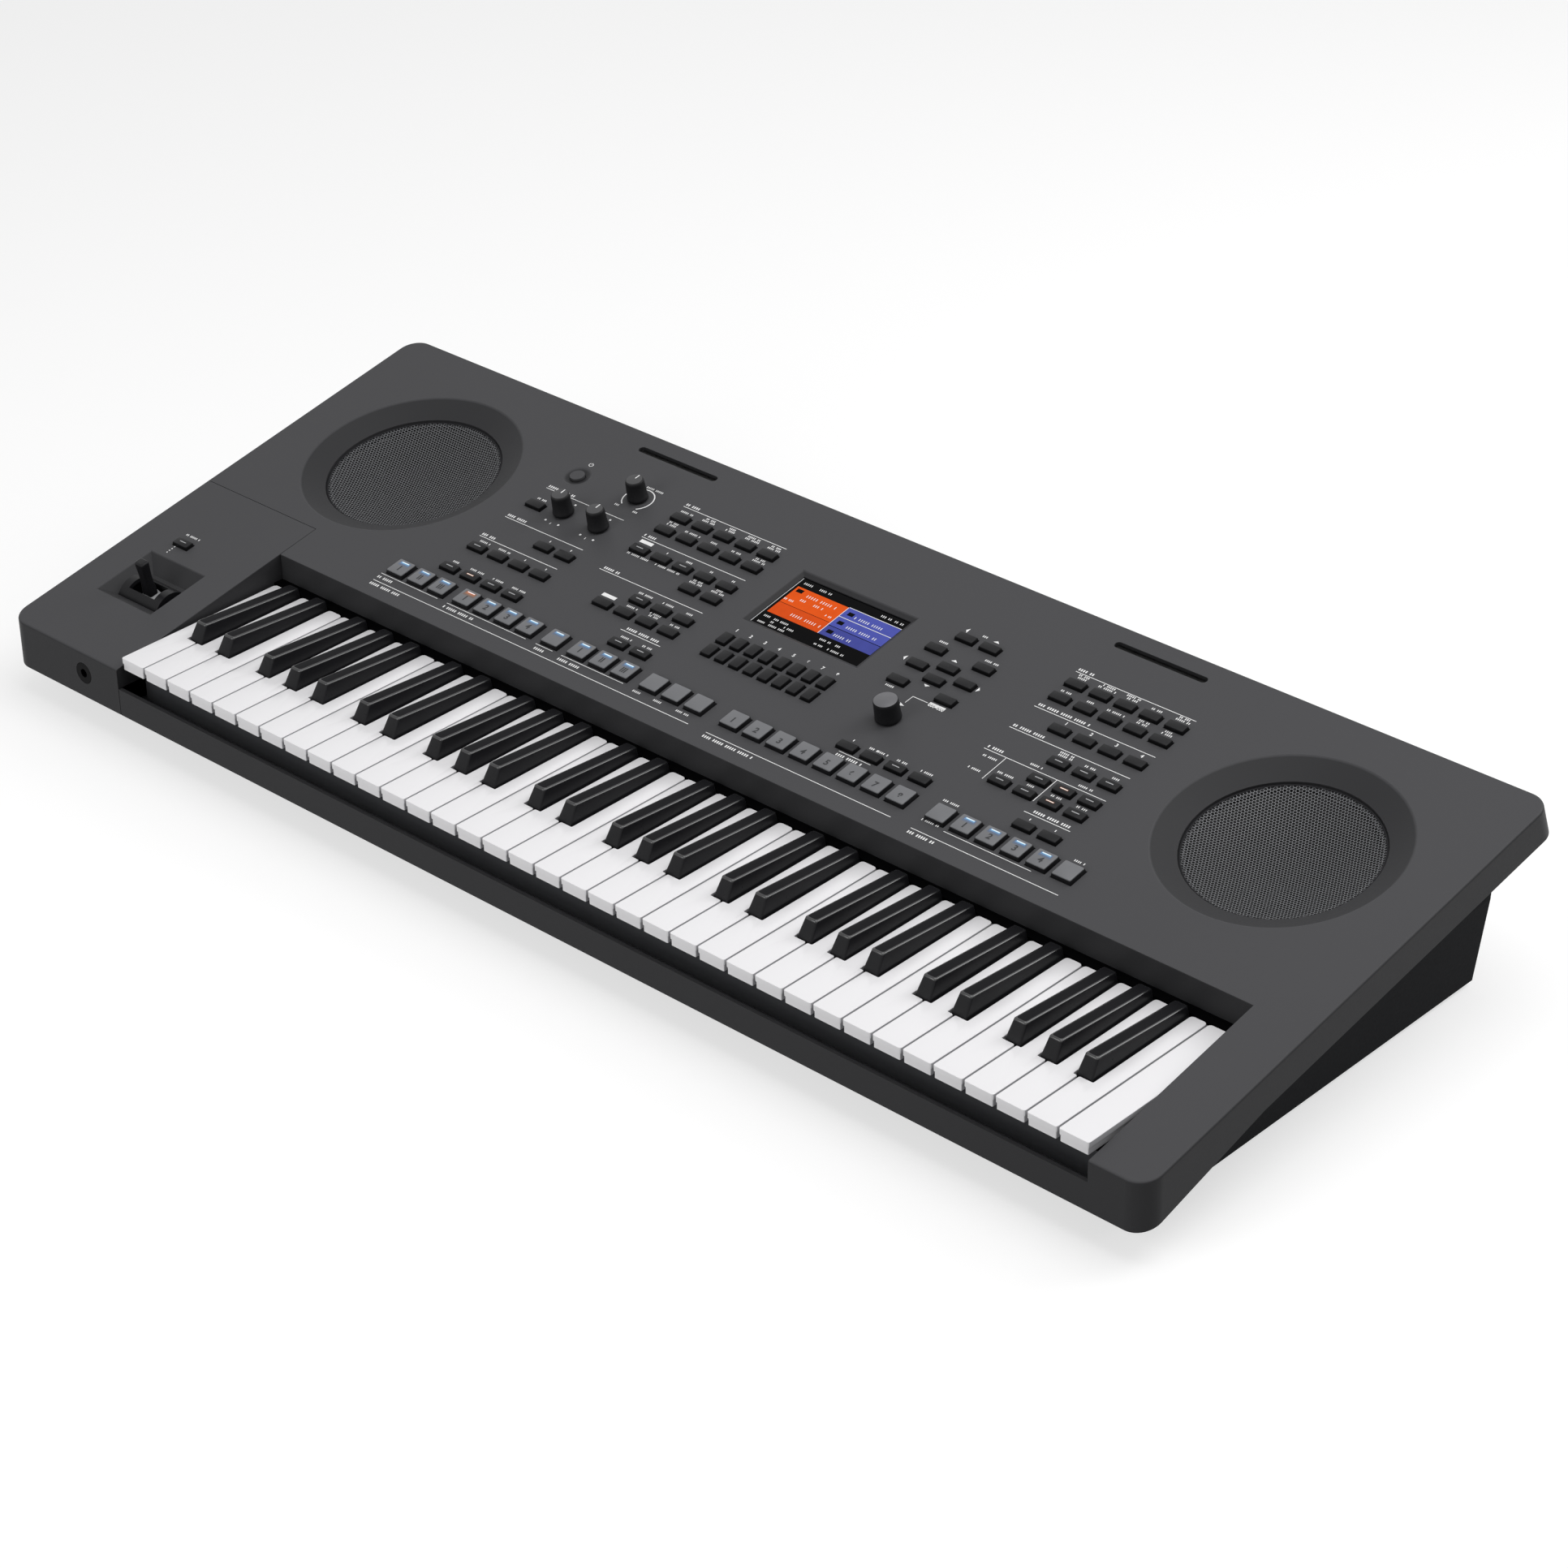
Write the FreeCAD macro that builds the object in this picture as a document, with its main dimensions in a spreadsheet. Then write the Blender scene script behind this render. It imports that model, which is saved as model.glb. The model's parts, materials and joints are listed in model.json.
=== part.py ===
"""Arranger keyboard: case, keybed, panel controls, speakers, joystick and electronics.

Millimetres. +X runs along the keys from bass to treble, +Y to the rear, +Z up. The origin is the
middle of the case's outline, on the table. A depth is a distance behind the case's front edge.
Panel places are (x, slope, lift): slope is measured up the tilted panel from its front edge and
lift is along the panel's normal, zero at its outer surface.
"""
import FreeCAD, Part
import Sketcher
import os
import re

SIZES = {
    # Case
    "case_width": 1007.0,
    "case_depth": 399.0,
    "panel_angle": 10.91,
    "panel_front_height": 58.4,
    "rear_overhang": 8.5,
    "rim_height": 24.3,
    "front_height": 35.0,
    "rim_kink": 108.5,
    "case_wall": 3.0,
    "corner_radius": 15.0,
    "rim_round": 1.8,
    "seam_gap": 0.5,
    "left_panel_length": 187.9,
    # Lower case
    "foot_height": 3.5,
    "foot_radius": 9.0,
    "foot_margin": 60.0,
    "tray_inset": 25.5,
    "tray_draft": 5.0,
    "chin_setback": 3.5,
    "chin_depth": 48.5,
    "tray_rear_bottom": 364.5,
    "tray_rear_top": 373.5,
    "flange_gap": 0.4,
    "post_radius": 5.0,
    "boss_radius": 4.5,
    "screw_radius": 1.4,
    "screw_head_radius": 3.0,
    "screw_head_height": 2.0,
    "screw_clearance": 0.15,
    # Keys
    "key_offset": 36.8,
    "key_pitch": 23.5,
    "key_top_height": 67.5,
    "key_front": 3.5,
    "key_gap": 0.6,
    "key_depth": 9.0,
    "key_skin": 2.5,
    "key_wall": 2.0,
    "key_show": 139.0,
    "key_tail": 212.0,
    "key_tail_drop": 3.5,
    "key_slot_clearance": 1.8,
    "key_slot_depth": 150.9,
    "key_slot_wall": 2.5,
    "rail_drop": 24.0,
    "slot_foot": 0.6,
    "strip_front": 139.8,
    "strip_depth": 2.8,
    "black_front": 48.5,
    "black_gap": 1.0,
    "black_width": 12.0,
    "black_top_width": 9.6,
    "black_height": 12.0,
    "black_rear_height": 6.0,
    "black_slope": 6.5,
    "black_depth": 7.0,
    "black_rear": 139.0,
    "pivot_setback": 205.0,
    "pivot_drop": 12.5,
    "pivot_radius": 2.0,
    "pivot_clearance": 0.15,
    "pivot_boss": 6.0,
    "pivot_boss_width": 8.4,
    "white_dip": 10.0,
    # Keybed
    "keybed_margin": 5.2,
    "keybed_front": 16.0,
    "keybed_rear": 232.0,
    "keybed_height": 22.5,
    "keybed_plate": 3.0,
    "pivot_tab": 2.4,
    "felt_front": 20.0,
    "felt_width": 20.0,
    "felt_thickness": 2.4,
    "felt_play": 0.4,
    "contact_front": 95.0,
    "contact_width": 40.0,
    "contact_rubber_width": 12.0,
    "contact_rubber_height": 4.0,
    "board_thickness": 1.6,
    # Panel controls
    "button_width": 15.2,
    "button_depth": 7.4,
    "button_height": 2.6,
    "pad_width": 16.0,
    "pad_depth": 15.6,
    "pad_height": 3.2,
    "display_button_width": 8.6,
    "display_button_depth": 11.4,
    "display_button_height": 2.4,
    "button_draft": 0.4,
    "button_clearance": 0.35,
    "button_stem": 9.6,
    "button_flange": 1.2,
    "button_flange_lip": 1.3,
    "button_flange_play": 0.3,
    "button_travel": 1.0,
    "button_pitch": 20.4,
    "display_button_pitch": 12.8,
    "left_block_x": -238.1,
    "style_block_x": -126.2,
    "display_x": -2.2,
    "cursor_block_x": 102.1,
    "voice_block_x": 224.9,
    "bank_block_x": 129.7,
    "intro_pads_x": -276.4,
    "variation_pads_x": -200.8,
    "break_pad_x": -145.5,
    "ending_pads_x": -100.6,
    "start_pads_x": -33.4,
    "registration_pads_x": 90.2,
    "multi_pads_x": 245.6,
    "pad_row": 185.9,
    "row_one": 205.5,
    "row_two": 232.6,
    "row_three": 247.6,
    "part_row_lower": 230.9,
    "part_row_upper": 244.9,
    "transpose_row": 257.5,
    "effect_row": 264.6,
    "row_four": 275.2,
    "row_five": 290.6,
    "row_six": 316.1,
    "row_seven": 332.2,
    "cursor_side_row": 294.7,
    "cursor_spread": 7.1,
    "cursor_value_row": 313.6,
    "hold_x": -458.0,
    "hold_row": 123.9,
    "board_depth": 13.0,
    "switch_size": 6.0,
    "switch_play": 0.2,
    "board_row_start": 176.0,
    "board_row_end": 351.0,
    "board_post_radius": 3.0,
    "board_post_inset": 6.0,
    "board_post_row_front": 215.5,
    "board_post_row_rear": 345.0,
    "left_board_start": -310.0,
    "left_board_end": -66.0,
    "centre_board_start": -63.0,
    "centre_board_end": 173.0,
    "right_board_start": 176.0,
    "right_board_end": 317.0,
    # Knobs
    "knob_base_radius": 7.75,
    "knob_top_radius": 6.4,
    "knob_height": 16.3,
    "knob_lift": 0.8,
    "dial_base_radius": 9.0,
    "dial_top_radius": 8.2,
    "dial_height": 15.2,
    "shaft_radius": 3.0,
    "shaft_clearance": 0.3,
    "shaft_length": 10.5,
    "pot_size": 14.0,
    "pot_height": 8.5,
    "live_knob_one_x": -244.5,
    "live_knob_two_x": -210.4,
    "live_knob_row": 294.4,
    "volume_row": 334.4,
    "dial_row": 242.1,
    "power_x": -268.2,
    "power_row": 332.4,
    "power_radius": 5.4,
    "power_height": 1.0,
    "power_dish_radius": 10.5,
    "power_dish_depth": 2.1,
    # Display
    "display_row": 302.2,
    "bezel_width": 104.0,
    "bezel_length": 63.2,
    "screen_width": 96.0,
    "screen_length": 55.4,
    "bezel_depth": 2.2,
    "window_border": 3.0,
    "window_thickness": 1.5,
    "module_border": 5.5,
    "module_thickness": 5.0,
    # Music rest slots
    "music_slot_spacing": 430.6,
    "music_slot_row": 380.5,
    "music_slot_length": 75.0,
    "music_slot_width": 6.0,
    # Speakers
    "speaker_spacing": 772.4,
    "speaker_row": 281.6,
    "dish_radius": 81.4,
    "dish_depth": 8.0,
    "dish_wall": 2.6,
    "grille_radius": 64.0,
    "grille_recess": 1.4,
    "grille_thickness": 1.2,
    "grille_play": 0.3,
    "speaker_opening": 60.0,
    "basket_flange": 2.0,
    "basket_depth": 25.0,
    "basket_bottom_radius": 34.0,
    "basket_wall": 2.0,
    "cone_depth": 14.0,
    "cone_wall": 1.0,
    "cone_neck_radius": 16.0,
    "cone_play": 0.4,
    "magnet_radius": 36.0,
    "magnet_height": 18.0,
    # Joystick
    "joystick_x": -442.7,
    "joystick_row": 77.4,
    "well_left": -474.1,
    "well_right": -415.6,
    "well_front": 55.2,
    "well_rear": 107.4,
    "well_depth": 9.0,
    "well_wall": 2.0,
    "well_left_slope": 13.0,
    "well_rear_slope": 12.0,
    "well_front_slope": 12.5,
    "well_right_slope": 2.0,
    "drum_radius": 15.4,
    "drum_width": 40.6,
    "drum_drop": 15.7,
    "drum_wall": 3.0,
    "drum_below": 7.0,
    "drum_clearance": 0.6,
    "drum_slot_length": 27.0,
    "drum_slot_width": 14.0,
    "drum_pin_radius": 2.5,
    "drum_pin_length": 4.6,
    "cheek_play": 0.6,
    "cheek_thickness": 4.0,
    "bracket_drop": 19.5,
    "bracket_plate": 3.0,
    "bracket_half_length": 14.0,
    "lever_width": 9.0,
    "lever_thickness": 7.6,
    "lever_height": 37.1,
    "lever_taper": 0.6,
    "lever_skirt_radius": 10.4,
    "lever_skirt_width": 10.0,
    "lever_skirt_wall": 2.0,
    "lever_skirt_half": 8.4,
    "lever_pin_radius": 2.0,
    # Sockets and boards
    "jack_radius": 7.6,
    "jack_bore": 3.2,
    "jack_length": 18.0,
    "jack_bore_depth": 15.5,
    "jack_proud": 0.8,
    "mini_jack_bore": 1.8,
    "socket_clearance": 0.3,
    "phones_x": -424.9,
    "phones_height": 42.3,
    "socket_height": 42.0,
    "pedal_jack_x": -250.0,
    "pedal_jack_pitch": 30.0,
    "aux_jack_x": -150.0,
    "usb_host_x": 120.0,
    "usb_device_x": 170.0,
    "dc_inlet_x": 240.0,
    "port_depth": 14.0,
    "port_wall": 1.0,
    "usb_wide": 12.6,
    "usb_low": 5.2,
    "usb_square": 8.6,
    "usb_square_height": 8.0,
    "dc_size": 11.0,
    "dc_bore": 2.9,
    "dc_pin": 1.0,
    "main_board_x": 40.0,
    "main_board_width": 260.0,
    "main_board_front": 250.0,
    "main_board_length": 90.0,
    "main_board_lift": 14.0,
    "main_board_inset": 8.0,
    "chip_height": 3.0,
}

OCTAVES = 5
WHITE_KEYS = 7 * OCTAVES + 1
POSTS_ACROSS = 4
PANEL_BOARDS = ("left_board", "centre_board", "right_board")

doc = FreeCAD.newDocument("arranger_keyboard")
sheet = doc.addObject("Spreadsheet::Sheet", "dims")
for line, (alias, size) in enumerate(SIZES.items(), 1):
    sheet.set("A%d" % line, alias)
    sheet.set("B%d" % line, str(size))
    sheet.setAlias("B%d" % line, alias)
doc.recompute()

NODES = []


def formula(text):
    """Write an expression with each size named on the sheet."""
    def named(word):
        return "dims." + word.group() if word.group() in SIZES else word.group()
    return re.sub(r"[a-z][a-z_]*", named, str(text))


def value(alias):
    """A size as the sheet holds it now."""
    return float(sheet.get(alias))


def bind(thing, **settings):
    """Bind properties to expressions; an underscore pair in a name stands for a dot."""
    for name, text in settings.items():
        thing.setExpression(name.replace("__", "."), formula(text))
    return thing


def locate(thing, x=0, y=0, z=0):
    """Bind a thing's position."""
    return bind(thing, Placement__Base__x=x, Placement__Base__y=y, Placement__Base__z=z)


def turn(thing, axis, angle):
    """Bind a thing's rotation about one axis."""
    thing.Placement = FreeCAD.Placement(FreeCAD.Vector(), FreeCAD.Rotation(FreeCAD.Vector(*axis), 1))
    return bind(thing, Placement__Rotation__Angle=angle)


def box(name, x, y, z, length, width, height):
    """A block given by its low corner and its sizes."""
    thing = doc.addObject("Part::Box", name)
    bind(thing, Length=length, Width=width, Height=height)
    return locate(thing, x, y, z)


def centred_box(name, x, y, z, length, width, height):
    """A block centred on x and y that stands on z."""
    low_x = "(%s) - (%s) / 2" % (x, length)
    low_y = "(%s) - (%s) / 2" % (y, width)
    return box(name, low_x, low_y, z, length, width, height)


def cylinder(name, x, y, z, radius, height):
    """A cylinder that stands on z."""
    thing = doc.addObject("Part::Cylinder", name)
    bind(thing, Radius=radius, Height=height)
    return locate(thing, x, y, z)


def cross_cylinder(name, x, y, z, radius, length, along):
    """A cylinder lying along X or along Y, from its low end."""
    thing = doc.addObject("Part::Cylinder", name)
    bind(thing, Radius=radius, Height=length)
    turn(thing, (0, 1, 0) if along == "x" else (-1, 0, 0), 90)
    return locate(thing, x, y, z)


def cone(name, x, y, z, bottom, top, height):
    """A cone that stands on z."""
    thing = doc.addObject("Part::Cone", name)
    bind(thing, Radius1=bottom, Radius2=top, Height=height)
    return locate(thing, x, y, z)


def taper(name, base, top, z, height):
    """A block whose lower face is base and upper face is top, each (x low, x high, y low, y high)."""
    thing = doc.addObject("Part::Wedge", name)
    bind(thing, Ymin=0, Ymax=height)
    bind(thing, Xmin=base[0], Xmax=base[1], Zmin="0 - (%s)" % base[3], Zmax="0 - (%s)" % base[2])
    bind(thing, X2min=top[0], X2max=top[1], Z2min="0 - (%s)" % top[3], Z2max="0 - (%s)" % top[2])
    turn(thing, (1, 0, 0), 90)
    return locate(thing, 0, 0, z)


def prism(name, outline, half_width):
    """Carry an outline of (depth, height) points across the case, to half_width on each side."""
    sketch = doc.addObject("Sketcher::SketchObject", name + "_outline")
    count = len(outline)
    corners = [FreeCAD.Vector(k, k * k, 0) for k in range(count + 1)]
    for start, end in zip(corners, corners[1:]):
        sketch.addGeometry(Part.LineSegment(start, end))
    for k in range(count):
        sketch.addConstraint(Sketcher.Constraint("Coincident", k, 2, (k + 1) % count, 1))
    for k, (depth, height) in enumerate(outline):
        across = sketch.addConstraint(Sketcher.Constraint("DistanceX", -1, 1, k, 1, float(k)))
        upward = sketch.addConstraint(Sketcher.Constraint("DistanceY", -1, 1, k, 1, float(k * k)))
        sketch.setExpression("Constraints[%d]" % across, formula(depth))
        sketch.setExpression("Constraints[%d]" % upward, formula(height))
    sketch.Placement = FreeCAD.Placement(FreeCAD.Vector(), FreeCAD.Rotation(0.5, 0.5, 0.5, 0.5))
    bind(sketch, Placement__Base__y=FRONT)
    solid = doc.addObject("Part::Extrusion", name)
    solid.Base = sketch
    solid.DirMode = "Custom"
    solid.Dir = FreeCAD.Vector(1, 0, 0)
    solid.Solid = True
    return bind(solid, LengthFwd=half_width, LengthRev=half_width)


def fuse(name, *things):
    """One solid from several."""
    solid = doc.addObject("Part::MultiFuse", name)
    solid.Shapes = list(things)
    return solid


def cut(name, base, *tools):
    """A solid with the tools taken out of it."""
    solid = doc.addObject("Part::Cut", name)
    solid.Base = base
    solid.Tool = tools[0] if len(tools) == 1 else group(name + "_tools", tools)
    return solid


def common(name, base, tool):
    """What two solids share."""
    solid = doc.addObject("Part::Common", name)
    solid.Base = base
    solid.Tool = tool
    return solid


def group(name, things):
    """Several solids as one object."""
    compound = doc.addObject("Part::Compound", name)
    compound.Links = list(things)
    return compound


def copy(name, template, x=0, y=0, z=0):
    """A linked copy of a template at a place."""
    link = doc.addObject("App::Link", name)
    link.setLink(template)
    return locate(link, x, y, z)


def rounded(name, base, radius, wanted):
    """Fillet the edges of a solid that the test picks."""
    doc.recompute()
    solid = doc.addObject("Part::Fillet", name)
    solid.Base = base
    edges = [k for k, edge in enumerate(base.Shape.Edges, 1) if wanted(edge)]
    solid.Edges = [(k, radius, radius) for k in edges]
    return solid


def on_panel(thing):
    """Set a thing drawn in panel places onto the tilted panel."""
    turn(thing, (1, 0, 0), "panel_angle")
    return locate(thing, 0, FRONT, "panel_front_height")


def on_rear(thing):
    """Set a thing drawn in rear wall places (x, below the wall's foot, outward) onto the rear wall."""
    turn(thing, (-1, 0, 0), "90 deg + %s" % REAR_LEAN)
    return locate(thing, 0, "%s + tray_rear_bottom" % FRONT, "foot_height")


def on_front(thing):
    """Set a thing drawn outward along its own Z onto the front face."""
    turn(thing, (1, 0, 0), 90)
    return locate(thing, 0, FRONT, 0)


def node(thing, name):
    """Hand in a finished object as the named sub-part."""
    thing.Label = name
    NODES.append(thing)
    return thing


# Shared places
FRONT = "(0 - case_depth / 2)"
REAR_TOP = "(case_depth - rear_overhang)"
KEY_LEFT = "(key_offset - %g * key_pitch)" % (WHITE_KEYS / 2)
KEY_SLOT = "(%d * key_pitch + 2 * key_slot_clearance)" % WHITE_KEYS
KEYBED_HALF = "(%s / 2 + keybed_margin)" % KEY_SLOT
KEY_Y = "(%s + key_front)" % FRONT
PIVOT_Z = "(key_top_height - pivot_drop)"
KEYBED_TOP = "(keybed_height + keybed_plate)"
FLOOR = "(foot_height + case_wall)"
SWITCH_TOP = "(0 - button_stem - button_travel - switch_play)"
BOARD_TOP = "(0 - board_depth)"
FLANGE_LIFT = "(case_wall - rim_height * cos(panel_angle))"


def panel_height(depth):
    """Height of the panel's outer surface at a depth."""
    return "(panel_front_height + (%s) * tan(panel_angle))" % depth


def rim_foot(depth):
    """Height of the upper case's lower edge behind the kink."""
    return "(%s - rim_height)" % panel_height(depth)


CHIN_HEIGHT = "(panel_front_height - front_height)"
REAR_RISE = "(%s - foot_height)" % rim_foot("tray_rear_top")
REAR_LEAN = "atan((tray_rear_top - tray_rear_bottom) / %s)" % REAR_RISE


def column(block, index, count, pitch="button_pitch"):
    """The x of one column in a block of columns centred on the block's own place."""
    return "(%s + %g * %s)" % (block, index - (count - 1) / 2, pitch)


def slope_edges(shape_front, shape_rear):
    """A test for the four upright corner edges of a case solid, by the faces that they bound."""
    def wanted(edge):
        ends = [vertex.Point for vertex in edge.Vertexes]
        if len(ends) < 2 or abs(ends[0].x - ends[1].x) > 0.01 or abs(ends[0].z - ends[1].z) < 1:
            return False
        at_front = all(abs(end.y - shape_front) < 0.1 for end in ends)
        at_rear = all(end.y > shape_rear - 0.1 for end in ends)
        return at_front or at_rear
    return wanted


def upper_case_shell():
    """The top moulding before its openings: outer skin with rounded corners, less its hollow."""
    front = -value("case_depth") / 2
    rear = value("case_depth") / 2 - value("rear_overhang")
    wall = value("case_wall")
    outer = prism("case_skin", [
        (0, "panel_front_height"),
        (REAR_TOP, panel_height(REAR_TOP)),
        ("case_depth", rim_foot("case_depth")),
        ("rim_kink", rim_foot("rim_kink")),
        (0, CHIN_HEIGHT)], "case_width / 2")
    outer = rounded("case_corners", outer, value("corner_radius"), slope_edges(front, rear))
    tilt = value("panel_angle")
    normal = FreeCAD.Rotation(FreeCAD.Vector(1, 0, 0), tilt).multVec(FreeCAD.Vector(0, 0, 1))
    foot = FreeCAD.Vector(0, front, value("panel_front_height"))

    def on_top(edge):
        middle = edge.valueAt((edge.FirstParameter + edge.LastParameter) / 2)
        ends = [vertex.Point for vertex in edge.Vertexes] + [middle]
        return all(abs((end - foot).dot(normal)) < 0.01 for end in ends)
    outer = rounded("case_rim", outer, value("rim_round"), on_top)
    skin_drop = "case_wall / cos(panel_angle)"
    below = "2 * rim_height"
    inner = prism("case_hollow", [
        ("case_wall", "%s - %s" % (panel_height("case_wall"), skin_drop)),
        ("%s - case_wall" % REAR_TOP, "%s - %s" % (panel_height("(%s - case_wall)" % REAR_TOP), skin_drop)),
        ("case_depth - case_wall", rim_foot("case_depth")),
        ("case_depth - case_wall", "%s - %s" % (rim_foot("case_depth"), below)),
        ("case_wall", "%s - %s" % (CHIN_HEIGHT, below))], "case_width / 2 - case_wall")
    inner = rounded("hollow_corners", inner, value("corner_radius") - wall,
                    slope_edges(front + wall, rear - wall))
    return cut("case_shell", outer, inner)


def key_slot_walls():
    """Side and rear walls of the key opening, as a block that the opening is then cut from."""
    side = "(%s / 2 + key_slot_wall)" % KEY_SLOT
    return box("key_slot_block", "key_offset - %s" % side, "%s + case_wall / 2" % FRONT,
               "key_top_height - rail_drop", "2 * %s" % side,
               "key_slot_depth + key_slot_wall - case_wall / 2", "key_top_height")


def key_slot_opening():
    """The opening over the keys, and the gap under its rear wall for the key tails."""
    left = "key_offset - %s / 2" % KEY_SLOT
    mouth = box("key_slot_mouth", left, "%s - 1" % FRONT, "key_top_height - rail_drop",
                KEY_SLOT, "key_slot_depth + 1", "2 * key_top_height")
    tails = box("key_slot_tails", left, "%s + case_wall" % FRONT, "key_top_height - rail_drop",
                KEY_SLOT, "key_slot_depth + key_slot_wall + 1",
                "rail_drop + slot_foot")
    return [mouth, tails]


def dish_cups(side):
    """Stiff cup under each speaker dish, and the dish, seat and opening cut from it."""
    x = "%d * speaker_spacing / 2" % side
    tag = "left" if side < 0 else "right"
    seat = "(dish_depth + grille_recess + grille_thickness)"
    outer = cone("dish_cup_" + tag, x, "speaker_row", "0 - %s - dish_wall" % seat,
                 "grille_radius + grille_play + dish_wall", "dish_radius + dish_wall",
                 "%s + dish_wall - case_wall / 2" % seat)
    dish = cone("dish_" + tag, x, "speaker_row", "0 - dish_depth", "grille_radius + grille_play",
                "dish_radius", "dish_depth")
    pocket = cylinder("grille_pocket_" + tag, x, "speaker_row", "0 - %s" % seat,
                      "grille_radius + grille_play", seat)
    opening = cylinder("speaker_opening_" + tag, x, "speaker_row", "0 - %s - 10" % seat,
                       "speaker_opening", "%s + 10" % seat)
    return outer, [dish, pocket, opening]


def joystick_well():
    """Cup of the joystick well, and the well and drum opening cut from it."""
    cup = box("well_cup", "well_left - well_wall", "well_front - well_wall", "0 - well_depth - well_wall",
              "well_right - well_left + 2 * well_wall", "well_rear - well_front + 2 * well_wall",
              "well_depth + well_wall - case_wall / 2")
    mouth = ("well_left", "well_right", "well_front", "well_rear")
    floor = ("well_left + well_left_slope", "well_right - well_right_slope",
             "well_front + well_front_slope", "well_rear - well_rear_slope")
    well = taper("well", floor, mouth, "0 - well_depth", "well_depth")
    length = "(drum_width + 2 * drum_clearance)"
    opening = cross_cylinder("drum_opening", "joystick_x - %s / 2" % length, "joystick_row", "0 - drum_drop",
                             "drum_radius + drum_clearance", length, "x")
    return cup, [well, opening]


def button_kind(kind, width, depth, height):
    """One push button with its stem and retaining flange, and the panel hole that guides it."""
    w = "(%s) / 2" % width
    d = "(%s) / 2" % depth
    inset = "button_draft"
    foot = ("0 - %s" % w, w, "0 - %s" % d, d)
    top = ("%s - %s" % (inset, w), "%s - %s" % (w, inset), "%s - %s" % (inset, d), "%s - %s" % (d, inset))
    under = "(case_wall + button_flange_play + button_flange)"
    cap = taper(kind + "_cap", foot, top, 0, height)
    neck = centred_box(kind + "_neck", 0, 0, "0 - %s" % under, width, depth, under)
    flange = centred_box(kind + "_flange", 0, 0, "0 - %s" % under, "%s + 2 * button_flange_lip" % width,
                         "%s + 2 * button_flange_lip" % depth, "button_flange")
    stem = centred_box(kind + "_stem", 0, 0, "0 - button_stem", "switch_size - 2", "switch_size - 2",
                       "button_stem - %s" % under)
    solid = fuse(kind, cap, neck, flange, stem)
    block = centred_box(kind + "_block", 0, 0, "0 - case_wall - 1", "%s + 2 * button_clearance" % width,
                        "%s + 2 * button_clearance" % depth, "case_wall + 2")
    return solid, group(kind + "_hole", [block])


def button_places():
    """Every set of buttons: node name, kind and (x, slope) of each button."""
    def row(block, count, indices, slope, pitch="button_pitch"):
        return [(column(block, k, count, pitch), slope) for k in indices]
    cursor = "cursor_block_x"
    return [
        ("style_pads", "pad", row("intro_pads_x", 3, range(3), "pad_row")
         + row("variation_pads_x", 4, range(4), "pad_row") + [("break_pad_x", "pad_row")]
         + row("ending_pads_x", 3, range(3), "pad_row") + row("start_pads_x", 3, range(3), "pad_row")),
        ("registration_pads", "pad", row("registration_pads_x", 8, range(8), "pad_row")),
        ("multi_pads", "pad", row("multi_pads_x", 6, range(6), "pad_row")),
        ("display_buttons", "display_button",
         row("display_x", 8, range(8), "row_two", "display_button_pitch")
         + row("display_x", 8, range(8), "row_three", "display_button_pitch")),
        ("tempo_buttons", "button", row("left_block_x", 4, range(4), "row_one")
         + row("left_block_x", 4, range(4), "row_two") + row("left_block_x", 4, (2, 3), "transpose_row")
         + row("left_block_x", 4, (0,), "row_five")),
        ("style_select_buttons", "button", row("style_block_x", 5, range(5), "row_six")
         + row("style_block_x", 5, range(5), "row_seven")),
        ("song_buttons", "button", row("style_block_x", 5, range(5), "row_five")
         + row("style_block_x", 5, (3, 4), "row_four")),
        ("function_buttons", "button", row("style_block_x", 5, (1, 2, 3, 4), "row_two")
         + row("style_block_x", 5, (2, 3, 4), "row_three") + row("style_block_x", 5, (3, 4), "row_one")),
        ("cursor_buttons", "button", row(cursor, 3, (0.5, 1.5), "row_seven")
         + row(cursor, 3, (0, 2), "cursor_value_row") + row(cursor, 3, (0, 2), "cursor_side_row")
         + [(cursor, "cursor_side_row + cursor_spread"), (cursor, "cursor_side_row - cursor_spread")]
         + row(cursor, 3, (0, 2), "row_four")),
        ("bank_buttons", "button", row("bank_block_x", 4, range(4), "row_one")),
        ("voice_buttons", "button", row("voice_block_x", 5, range(5), "row_six")
         + row("voice_block_x", 5, range(5), "row_seven")),
        ("one_touch_buttons", "button", row("voice_block_x", 5, (1, 2, 3, 4), "row_five")),
        ("effect_buttons", "button", row("voice_block_x", 5, (2, 3, 4), "effect_row")),
        ("part_buttons", "button", row("voice_block_x", 5, (1, 2, 3, 4), "part_row_lower")
         + row("voice_block_x", 5, (2, 3, 4), "part_row_upper")
         + row("voice_block_x", 5, (3, 4), "row_one")),
        ("hold_button", "button", [("hold_x", "hold_row")]),
    ]


def panel_buttons():
    """Make the button sets; give back the panel holes and the places of their switches."""
    kinds = {"button": button_kind("button", "button_width", "button_depth", "button_height"),
             "pad": button_kind("pad", "pad_width", "pad_depth", "pad_height"),
             "display_button": button_kind("display_button", "display_button_width",
                                           "display_button_depth", "display_button_height")}
    holes = []
    places = []
    for name, kind, spots in button_places():
        solid, hole = kinds[kind]
        copies = []
        for k, (x, slope) in enumerate(spots):
            copies.append(copy("%s_%d" % (name, k), solid, x, slope))
            holes.append(copy("%s_hole_%d" % (name, k), hole, x, slope))
        node(on_panel(group(name, copies)), name)
        places += spots if name != "hold_button" else []
    return holes, places


KNOBS = {"live_knob_1": ("live_knob_one_x", "live_knob_row", "knob"),
         "live_knob_2": ("live_knob_two_x", "live_knob_row", "knob"),
         "volume_knob": ("live_knob_two_x", "volume_row", "knob"),
         "data_dial": ("cursor_block_x", "dial_row", "dial")}


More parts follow.
